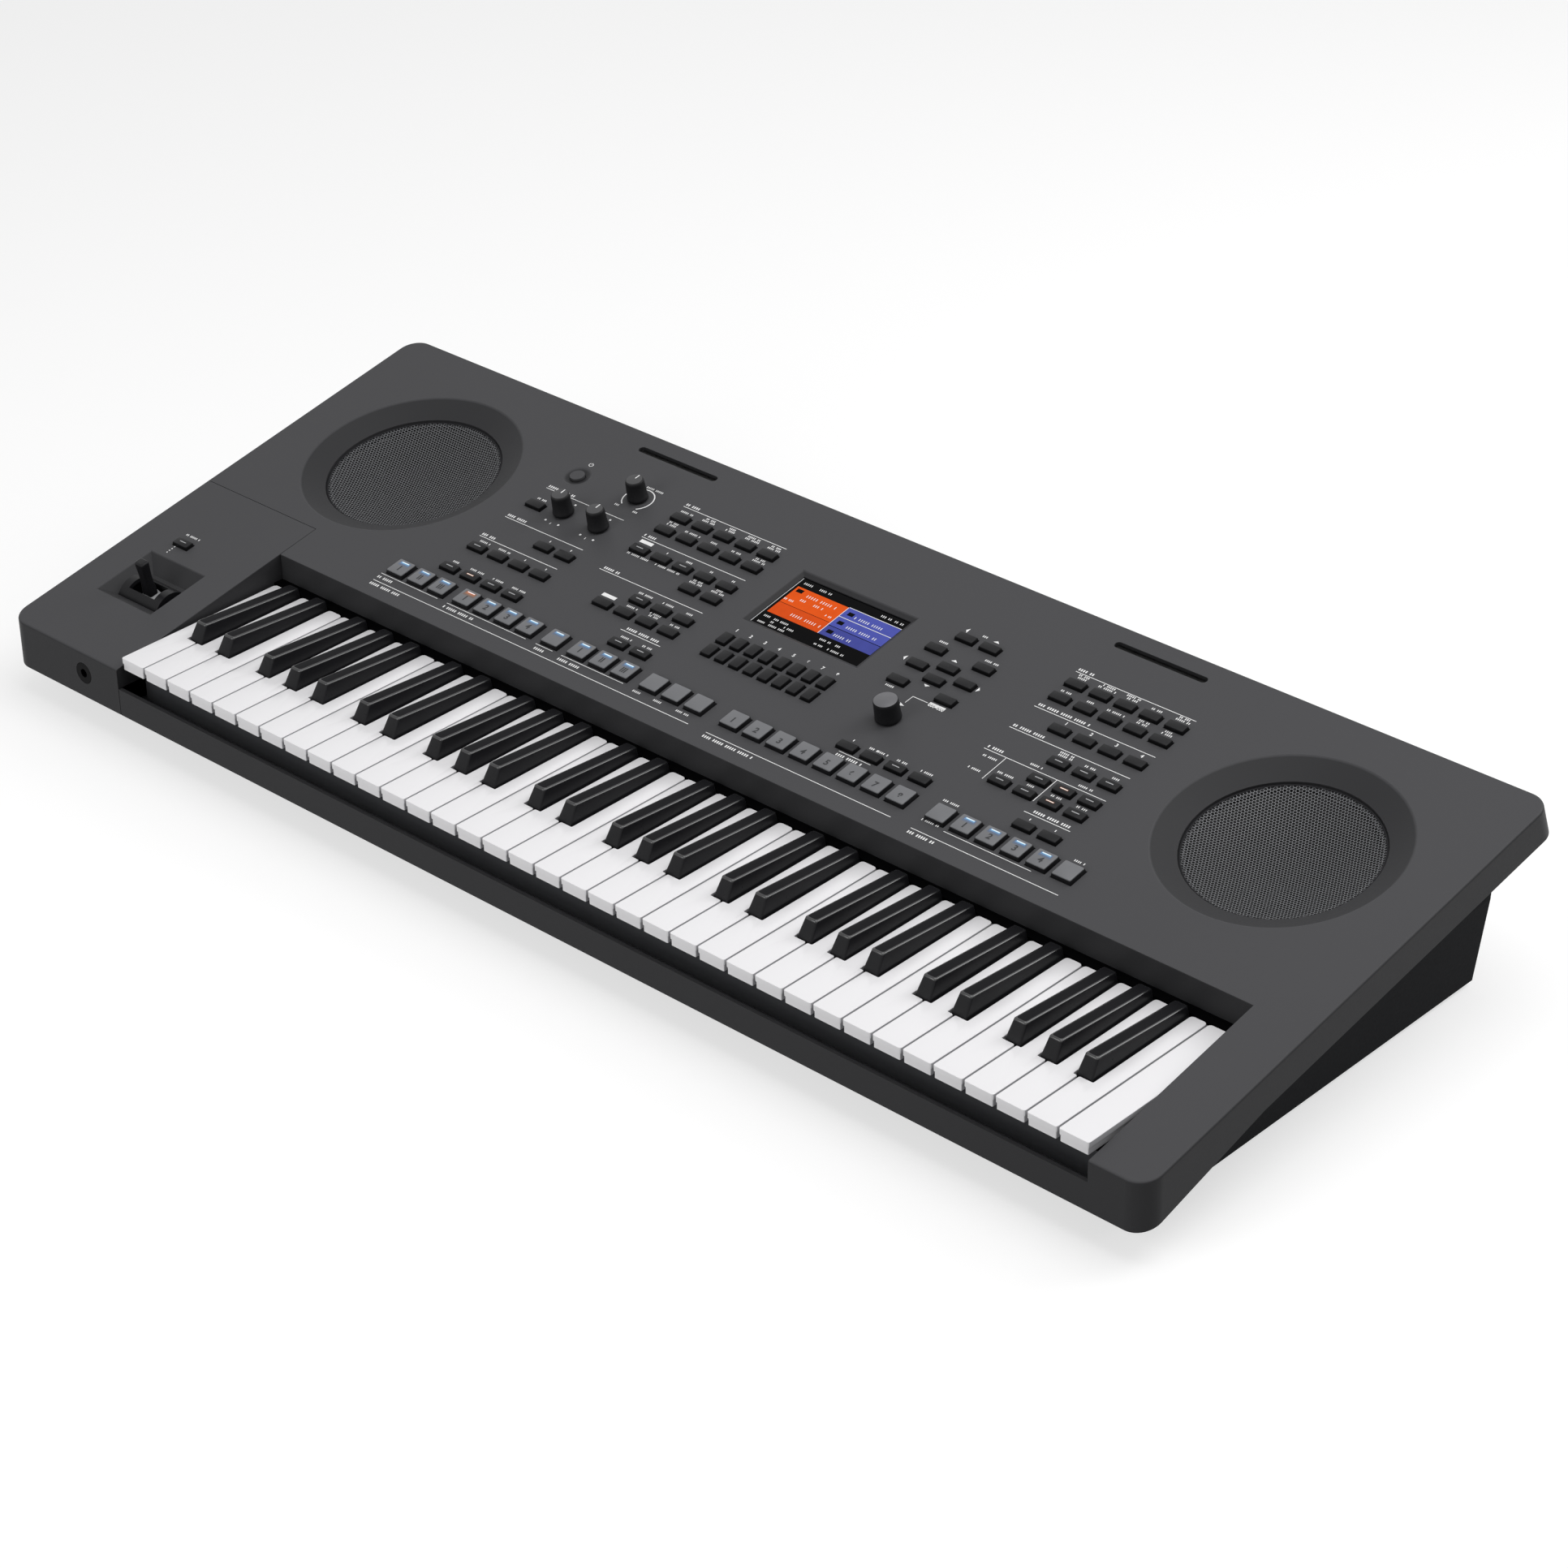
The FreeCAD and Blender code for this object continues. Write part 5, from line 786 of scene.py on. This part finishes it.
class KEYBOARD_OT_pads(bpy.types.Operator):
    """Make the square pads with their light bars and numbers"""
    bl_idname = "keyboard.pads"
    bl_label = "Pads"

    def execute(self, context):
        looks = looks_of(context)
        # Satin-coated acrylic: an even pale grey with a soft, broad highlight
        finish = surface("satin_coated_acrylic_grey", looks.pad_colour, 0.42, 1.2, 0.012, mottle=0.05,
                         patch=14.0)
        # Moulded black body under each plate
        dark = surface("satin_etched_abs_pad_body", linear("#0e0e10"), 0.45, 1.1, 0.012, Specular_IOR_Level=0.2)
        # Pad-printed ink: dull, nearly black
        mark = surface("pad_print_dark_ink", linear("#17181b"), 0.5, 0.8, 0.004, mottle=0.1, patch=4.0)
        # Lit polycarbonate light guides in the plates: pale blue, and amber on one
        lit = glow("lit_bar_white", looks.light_colour)
        amber = glow("lit_bar_amber", looks.amber_colour)
        # The lamp behind each bar shows through its rear half
        core = glow("lit_bar_core", linear("#f6fbff"))
        # Light that spreads in the plate round a bar: (growth, colour) from the widest ring in
        blues = [(2.0, "#6b7688"), (0.8, "#7092bb")]
        ambers = [(2.4, "#7b6c66"), (1.2, "#a3735c")]
        spread = {colour: glow("lit_plate_" + colour[1:], linear(colour)) for _, colour in blues + ambers}
        top = PAD[2]
        body, plate = button_cap(PAD, 0.35, 0.8)
        for node, places, marks, lights, warnings in (
                ("style_pads", STYLE_PADS, STYLE_MARKS, STYLE_LIGHTS, STYLE_AMBER),
                ("registration_pads", REGISTRATION_PADS, "12345678", (), ()),
                ("multi_pads", MULTI_PADS, MULTI_MARKS, MULTI_LIGHTS, ())):
            shapes = [(repeated(body, places), dark), (repeated(plate, places), finish)]
            shapes += [(repeated(numeral(text, PAD_MARK_HEIGHT, top + MARK_RISE), [(x, y + PAD_MARK_BACK)]),
                        mark) for text, (x, y) in zip(marks, places) if text]
            for chosen, colour, rings in ((lights, lit, blues), (warnings, amber, ambers)):
                if not chosen:
                    continue
                bars = np.array([places[k] * 2 for k in chosen])
                bars += (-PAD_BAR_HALF, PAD_BAR_BACK, PAD_BAR_HALF, PAD_BAR_BACK)
                shapes += [(strokes(bars + growth * np.array([-0.75, -0.55, 0.75, -0.55]), 0.9 + 1.5 * growth,
                                    top + HALO_RISE + 0.015 * level), spread[tint])
                           for level, (growth, tint) in enumerate(rings)]
                shapes += [(strokes(bars, PAD_BAR_WIDTH, top + BAR_RISE), colour),
                           (strokes(bars + (0.1, 0.15, -0.1, 0.15), PAD_CORE_WIDTH, top + MARK_RISE), core)]
            piece(node.replace("pads", "pad_caps"), node, on_panel, shapes, [node])
        return {"FINISHED"}


class KEYBOARD_OT_buttons(bpy.types.Operator):
    """Make the small buttons with their indicator slits"""
    bl_idname = "keyboard.buttons"
    bl_label = "Buttons"

    def execute(self, context):
        looks = looks_of(context)
        # Satin-etched ABS: near black, its edges just catch the light
        finish = surface("satin_etched_abs_button", looks.button_colour, 0.36, 1.1, 0.012, mottle=0.06,
                         Specular_IOR_Level=0.16)
        # The same moulding's sides, a shade blacker than the tops: painted shade
        dark = surface("abs_button_side_painted_shade", linear("#09090a"), 0.45, 1.1, 0.008, Specular_IOR_Level=0.12)
        # Clear polycarbonate diffuser: a grey line when its lamp is off
        slit = surface("clear_diffuser_unlit", linear("#a9aaac"), 0.35, 0.8, 0.004)
        # The same diffuser lit: a white line in an amber halo
        core = glow("lit_slit_white", linear("#fff1e6"))
        halo = glow("lit_slit_amber", linear("#7d4529"))
        sizes = {**dict.fromkeys(BUTTONS, BUTTON), "display_buttons": SCREEN_BUTTON}
        for node, size in sizes.items():
            places = BUTTONS.get(node, SCREEN_BUTTONS)
            body, plate = button_cap(size, 0.4, 0.6, 0.2, 0.15)
            shapes = [(repeated(body, places), dark), (repeated(plate, places), finish)]
            for k in SLITS.get(node, ()):
                x, y = places[k][0], places[k][1] + SLIT_BACK
                lit = k in LIT_SLITS.get(node, ())
                if lit:
                    shapes.append((strokes([(x - HALO_HALF, y, x + HALO_HALF, y)], HALO_WIDTH,
                                           size[2] + HALO_RISE), halo))
                shapes.append((strokes([(x - SLIT_HALF, y, x + SLIT_HALF, y)], SLIT_WIDTH,
                                       size[2] + PRINT_RISE), core if lit else slit))
            piece(node.replace("button", "button_cap") if node in BUTTONS else "display_button_caps", node,
                  on_panel, shapes, [node])
        return {"FINISHED"}


class KEYBOARD_OT_knobs(bpy.types.Operator):
    """Make the rotary knobs and the data dial, and finish the power button"""
    bl_idname = "keyboard.knobs"
    bl_label = "Knobs"

    def execute(self, context):
        # Soft-touch coated ABS: dead black sides
        side = surface("soft_touch_abs_black", linear("#0f0f11"), 0.5, 0.9, 0.02, mottle=0.08,
                       Specular_IOR_Level=0.2)
        # Grained top of the same cap, in a lighter grey than its sides: painted light falling from above
        top = surface("abs_cap_top_painted_light", linear("#333335"), 0.45, 0.9, 0.02, mottle=0.05)
        # Grey lacquer on the dial's top: smoother and paler
        grey = surface("grey_lacquered_abs_cap", linear("#5d5d60"), 0.4, 0.9, 0.006, mottle=0.05)
        knob = [(turned(KNOB_PROFILE), side), (turned(KNOB_FACE), top),
                (strokes([KNOB_POINTER], POINTER_WIDTH, POINTER_RISE), panel_ink(looks_of(context)))]
        dial = [(turned(DIAL_PROFILE), side), (turned(DIAL_FACE), grey)]
        for node, place in {**KNOBS, "data_dial": DIAL}.items():
            piece(node + "_cap", node, on_panel, [(repeated(shape, [(*place, KNOB_LIFT)]), coat)
                                                  for shape, coat in (knob if node in KNOBS else dial)],
                  [node])
        dress(["power_button"], bpy.data.materials["spark_eroded_abs_charcoal"])
        return {"FINISHED"}


class KEYBOARD_OT_joystick(bpy.types.Operator):
    """Make the joystick's lever and finish its drum"""
    bl_idname = "keyboard.joystick"
    bl_label = "Joystick"

    def execute(self, context):
        # Fine-grained acetal: smooth dark grey with a soft highlight
        dark = surface("fine_grained_acetal_dark", linear("#161618"), 0.36, 1.0, 0.012, Specular_IOR_Level=0.15)
        # Natural acetal of the sliding shutter under the slot: grey and waxy
        pale = surface("natural_acetal_grey", linear("#818284"), 0.42, 1.0, 0.01)
        dress(["joystick_drum"], dark)
        levels = [(-x, x, -y, y, STICK_CORNER, z) for x, y, z in STICK_SECTIONS]
        x, y, z = STICK_HEAD
        levels += [(inset - x, x - inset, inset - y, y - inset, max(STICK_CORNER - 0.3 * inset, 0.5), z - drop)
                   for inset, drop in edge_round(STICK_HEAD_EDGE, 6)]
        # The shutter is a flat strip bent round the lever's axis: its section carried along an arc
        swing, inner, outer, half = SHUTTER
        angle = np.radians(np.linspace(-swing, swing, 17))[:, None]
        reach = np.array([inner, inner, outer, outer])
        width = np.broadcast_to([-half, half, half, -half], (17, 4))
        shutter = np.stack([reach * np.sin(angle), width, reach * np.cos(angle)], -1)
        piece("joystick_lever_stalk", "joystick_lever", on_panel,
              [(repeated(loft(rings), [(*STICK, STICK_AXIS)]), coat)
               for rings, coat in ((rounded_rings(levels, 5), dark), (shutter, pale))],
              ["joystick_lever"])
        return {"FINISHED"}


class KEYBOARD_OT_display(bpy.types.Operator):
    """Make the lit display: two colour fields between dark bars, under its pane"""
    bl_idname = "keyboard.display"
    bl_label = "Display"

    def execute(self, context):
        x, y, width, length = SCREEN
        middle = np.array((x, y, x, y))
        # Hard-coated acrylic over a dark panel: black with a sharp highlight
        pane = surface("hard_coated_acrylic_pane", linear("#020203"), 0.14, 20.0, 0.002, mottle=0.02,
                       spread=0.02, Specular_IOR_Level=0.03)
        # A bright line down the pane's left side: a painted highlight where its edge catches the light
        edge = surface("pane_edge_painted_highlight", linear("#c9cacc"), 0.6, 0.8, 0.02)
        # Lit fields of the panel behind it
        finishes = {name: glow("lit_field_" + name, linear(colour)) for name, colour in (
            ("orange", "#d74d10"), ("amber", "#e35510"), ("blue", "#4d55ab"), ("indigo", "#434a98"))}
        finishes["edge"] = edge
        white = glow("lit_marks_white", linear("#eeeeee"))
        half, reach = width / 2 + PANE_LAP, length / 2 + PANE_LAP
        shapes = [(loft(rounded_rings([(x - half, x + half, y - reach, y + reach, 0.6, z)
                                       for z in (PANE_TOP - PANE_THICKNESS, PANE_TOP)], 3)), pane)]
        shapes += [(strokes(middle + (left, (low + high) / 2, right, (low + high) / 2), high - low,
                            PANE_TOP + FIELD_RISE), finishes[name]) for left, right, low, high, name in FIELDS]
        marks = np.vstack([words(x + left, y + up, run, height, k)
                           for k, (left, up, run, height) in enumerate(SCREEN_MARKS)])
        shapes += [(strokes(middle + PICTURES, PICTURE_WIDTH, PANE_TOP + PICTURE_RISE), pane),
                   (strokes(middle + SCREEN_RULES, SCREEN_RULE, PANE_TOP + MARK_RISE), white),
                   (strokes(marks, SCREEN_STROKE, PANE_TOP + MARK_RISE), white)]
        piece("display_pane", "case", on_panel, shapes, ["display_window"])
        return {"FINISHED"}


def perforated_bowl(radius, pitch, thickness, dip):
    """A perforated sheet: hexagon cells in offset rows inside the radius, each a ring round a hexagonal hole.

    Cell (i, j) stands at pitch times (i + j / 2 modulo 1, j root 3 / 2). Its points are three hexagons at the
    same angles: the cell's edge, the hole's upper edge and the hole's lower edge. The sheet is pressed into a
    shallow bowl: a point at distance r from its middle sinks by the dip times 1 - (r / radius)^2. Its
    faces come in two groups: the net and the holes' walls."""
    reach = int(radius / pitch) + 2
    j, i = np.mgrid[-reach - 4:reach + 5, -reach:reach + 1]
    centres = np.stack([pitch * (i + 0.5 * (j % 2)), pitch * math.sqrt(0.75) * j], -1).reshape(-1, 2)
    centres = centres[np.hypot(*centres.T) < radius - 0.4 * pitch]
    angle = np.radians(30 + 60 * np.arange(6))
    spoke = np.stack([np.cos(angle), np.sin(angle), np.zeros(6)], -1)
    hole = spoke * HOLE_SHARE * pitch
    cell = loft(np.stack([spoke * pitch / math.sqrt(3), hole, hole - (0, 0, thickness)]), False, False)
    points, (faces,) = repeated(cell, centres)
    points[:, 2] -= dip * (1 - (points[:, 0] ** 2 + points[:, 1] ** 2) / radius ** 2)
    net, walls = np.split(faces.reshape(len(centres), 2, 6, 4), 2, axis=1)
    return points, [net.reshape(-1, 4), walls.reshape(-1, 4)]


class KEYBOARD_OT_grilles(bpy.types.Operator):
    """Make the speaker grilles: perforated sheet in a plain rim"""
    bl_idname = "keyboard.grilles"
    bl_label = "Speaker grilles"

    def execute(self, context):
        pitch = looks_of(context).grille_pitch / MM
        # Perforated steel in grey paint: a pale net over dark holes that close up where the bowl turns away
        finish = surface("grey_painted_perforated_steel", linear("#6a6b6e"), 0.42, 1.5, 0.01)
        # The punched holes' walls in near black: painted shade inside the holes
        hole_wall_shade = surface("hole_walls_painted_shade", linear("#101011"), 0.6, 1.0, 0.005, Specular_IOR_Level=0.05)
        # Rubber beading round the sheet: dull and dark, close to the dish's tone
        beading = surface("rubber_beading_dark", linear("#252527"), 0.7, 0.9, 0.02, Specular_IOR_Level=0.1)
        sheet = perforated_bowl(GRILLE_RADIUS - SHEET_MARGIN, pitch, SHEET_THICKNESS, GRILLE_DIP)
        points, faces = turned(np.array(BEADING) + (GRILLE_RADIUS, 0), 96)
        for name, place in SPEAKERS.items():
            at = [(*place, GRILLE_TOP - GRILLE_SINK)]
            piece(name, "case", on_panel, [(repeated(sheet, at), (finish, hole_wall_shade)),
                                           (repeated((points, faces[:1]), at), beading)],
                  ["speaker_grilles"])
        return {"FINISHED"}


class KEYBOARD_OT_print(bpy.types.Operator):
    """Print the rules, ticks, arrows, numbers and the marks in the place of words on the panel"""
    bl_idname = "keyboard.print"
    bl_label = "Panel print"

    def execute(self, context):
        looks = looks_of(context)
        ink = panel_ink(looks)
        knobs = [np.array(KNOBS[node] * 2) for node in ("live_knob_1", "live_knob_2")]
        lines = [RULES, arc_lines(*POWER_MARK, *POWER_RING), np.array(POWER_MARK * 2) + POWER_STEM]
        lines += [knob + KNOB_TICK for knob in knobs]
        dots = np.vstack([knob + KNOB_DOTS for knob in knobs])
        arc = arc_lines(*KNOBS["volume_knob"], *VOLUME_ARC)
        boxes = [(left, back, right, back) for left, right, back in BOXES]
        prints = [strokes(np.vstack(lines), looks.rule_width / MM), strokes(arc, ARC_WIDTH),
                  strokes(HOLD_TICKS, TICK_WIDTH), strokes(dots, DOT_WIDTH), strokes(boxes, BOX_WIDTH),
                  arrowheads(CURSOR_ARROWS, ARROW_SIZE)]
        numbers = row(SCREEN[0], 8, range(8), SCREEN_NUMBER_ROW, SCREEN_PITCH)
        touches = [(x + LABEL_SHIFT, y + NUMBER_BACK) for x, y in BUTTONS["one_touch_buttons"]]
        prints += [repeated(numeral(str(k + 1), NUMBER_HEIGHT, PRINT_RISE), [place])
                   for places in (numbers, touches) for k, place in enumerate(places)]
        titles = np.vstack([words(*title, TITLE_HEIGHT, k) for k, title in enumerate(TITLES)])
        notes = [words(*note, NOTE_HEIGHT, k) for k, note in enumerate(NOTES)]
        for node, labels in LABELS.items():
            for (x, y), lengths in zip(BUTTONS[node], labels):
                for k, length in enumerate(lengths):
                    back = y + LABEL_BACK + NOTE_LINE * (len(lengths) - 1 - k)
                    notes.append(words(x - length / 2 + LABEL_SHIFT, back, length, NOTE_HEIGHT, k + length))
        prints += [strokes(titles, TITLE_STROKE), strokes(np.vstack(notes), NOTE_STROKE)]
        piece("panel_print", "case", on_panel, [(shape, ink) for shape in prints])
        return {"FINISHED"}


def background_rays(tree):
    """1 for the rays that show the background: the camera's, and those mirrored or passed on to it."""
    rays = add_node(tree, "ShaderNodeLightPath").outputs
    mirrored = add_node(tree, "ShaderNodeMath", {0: rays["Is Camera Ray"], 1: rays["Is Glossy Ray"]},
                        operation="MAXIMUM")
    return add_node(tree, "ShaderNodeMath", {0: mirrored.outputs[0], 1: rays["Is Transmission Ray"]},
                    operation="MAXIMUM").outputs[0]


class KEYBOARD_OT_stage(bpy.types.Operator):
    """Set the floor, the soft lamps, the world and the camera"""
    bl_idname = "keyboard.stage"
    bl_label = "Stage"

    def execute(self, context):
        scene = context.scene
        scene.view_settings.view_transform = "Standard"
        # A wide pale sweep; the camera sees it lifted to white, and the shadow stays
        mesh = bpy.data.meshes.new("studio_floor")
        mesh.from_pydata([(x * FLOOR_HALF, y * FLOOR_HALF, 0) for x, y in ((-1, -1), (1, -1), (1, 1), (-1, 1))],
                         [], [(0, 1, 2, 3)])
        floor = bpy.data.objects.new("studio_floor", mesh)
        scene.collection.objects.link(floor)
        # Matt paper: an even pale grey with no highlight
        paper = surface("matt_paper_pale", linear("#b4b4b4"), 0.9, 3.0, 0.01, mottle=0.004, patch=400.0,
                        Specular_IOR_Level=0.0, Emission_Color=(1, 1, 1, 1))
        tree = paper.node_tree
        lift = add_node(tree, "ShaderNodeMath", {0: background_rays(tree), 1: FLOOR_LIFT}, operation="MULTIPLY")
        tree.links.new(lift.outputs[0], tree.nodes["Principled BSDF"].inputs["Emission Strength"])
        mesh.materials.append(paper)
        world = bpy.data.worlds.new("studio")
        scene.world = world
        world.use_nodes = True
        tree = world.node_tree
        tree.nodes.clear()
        soft = add_node(tree, "ShaderNodeBackground", {"Color": (1, 1, 1, 1), "Strength": SKY_LIGHT})
        white = add_node(tree, "ShaderNodeBackground", {"Color": (1, 1, 1, 1), "Strength": SKY_SHOWN})
        mixed = add_node(tree, "ShaderNodeMixShader",
                         {0: background_rays(tree), 1: soft.outputs[0], 2: white.outputs[0]})
        add_node(tree, "ShaderNodeOutputWorld", {"Surface": mixed.outputs[0]})
        # A large soft lamp above, a panel behind to the right that draws the edges, and one low in front
        for name, (place, share, size) in LAMPS.items():
            data = bpy.data.lights.new(name, "AREA")
            data.energy = looks_of(context).lamp_power * share
            data.size = size
            lamp = bpy.data.objects.new(name, data)
            scene.collection.objects.link(lamp)
            lamp.location = place
            lamp.rotation_euler = (-Vector(place)).to_track_quat("-Z", "Y").to_euler()
        # The camera's axes from its azimuth and elevation, then rolled in the picture
        azimuth, elevation, roll = np.radians(CAMERA_TURN)
        ahead = np.array([-math.sin(azimuth) * math.cos(elevation), math.cos(azimuth) * math.cos(elevation),
                          -math.sin(elevation)])
        right = np.array([math.cos(azimuth), math.sin(azimuth), 0])
        down = np.cross(ahead, right)
        image_right = math.cos(roll) * right + math.sin(roll) * down
        image_down = math.cos(roll) * down - math.sin(roll) * right
        data = bpy.data.cameras.new("camera")
        data.lens = CAMERA_LENS
        data.sensor_width = SENSOR
        camera = bpy.data.objects.new("camera", data)
        scene.collection.objects.link(camera)
        turn = Matrix(np.stack([image_right, -image_down, -ahead], 1).tolist()).to_4x4()
        camera.matrix_world = Matrix.Translation(CAMERA_PLACE) @ turn
        scene.camera = camera
        return {"FINISHED"}


OPERATORS = (KEYBOARD_OT_case, KEYBOARD_OT_inner, KEYBOARD_OT_white_keys, KEYBOARD_OT_black_keys,
             KEYBOARD_OT_pads, KEYBOARD_OT_buttons, KEYBOARD_OT_knobs, KEYBOARD_OT_joystick,
             KEYBOARD_OT_display, KEYBOARD_OT_grilles, KEYBOARD_OT_print, KEYBOARD_OT_stage)


class KEYBOARD_PT_looks(bpy.types.Panel):
    """Sizes, colours and steps of the keyboard's looks"""
    bl_idname = "KEYBOARD_PT_looks"
    bl_label = "Arranger keyboard"
    bl_space_type = "VIEW_3D"
    bl_region_type = "UI"
    bl_category = "Keyboard"

    def draw(self, context):
        looks = looks_of(context)
        for name in looks.bl_rna.properties.keys():
            if name not in ("rna_type", "name"):
                self.layout.prop(looks, name)
        for operator in OPERATORS:
            self.layout.operator(operator.bl_idname)


CLASSES = (KeyboardLooks, *OPERATORS, KEYBOARD_PT_looks)


def register():
    for each in CLASSES:
        bpy.utils.register_class(each)
    bpy.types.Scene.keyboard_looks = PointerProperty(type=KeyboardLooks)


def unregister():
    del bpy.types.Scene.keyboard_looks
    for each in reversed(CLASSES):
        bpy.utils.unregister_class(each)


def main():
    """Make every piece and the stage."""
    register()
    for operator in OPERATORS:
        getattr(bpy.ops.keyboard, operator.bl_idname.split(".")[1])()


if __name__ == "__main__":
    main()
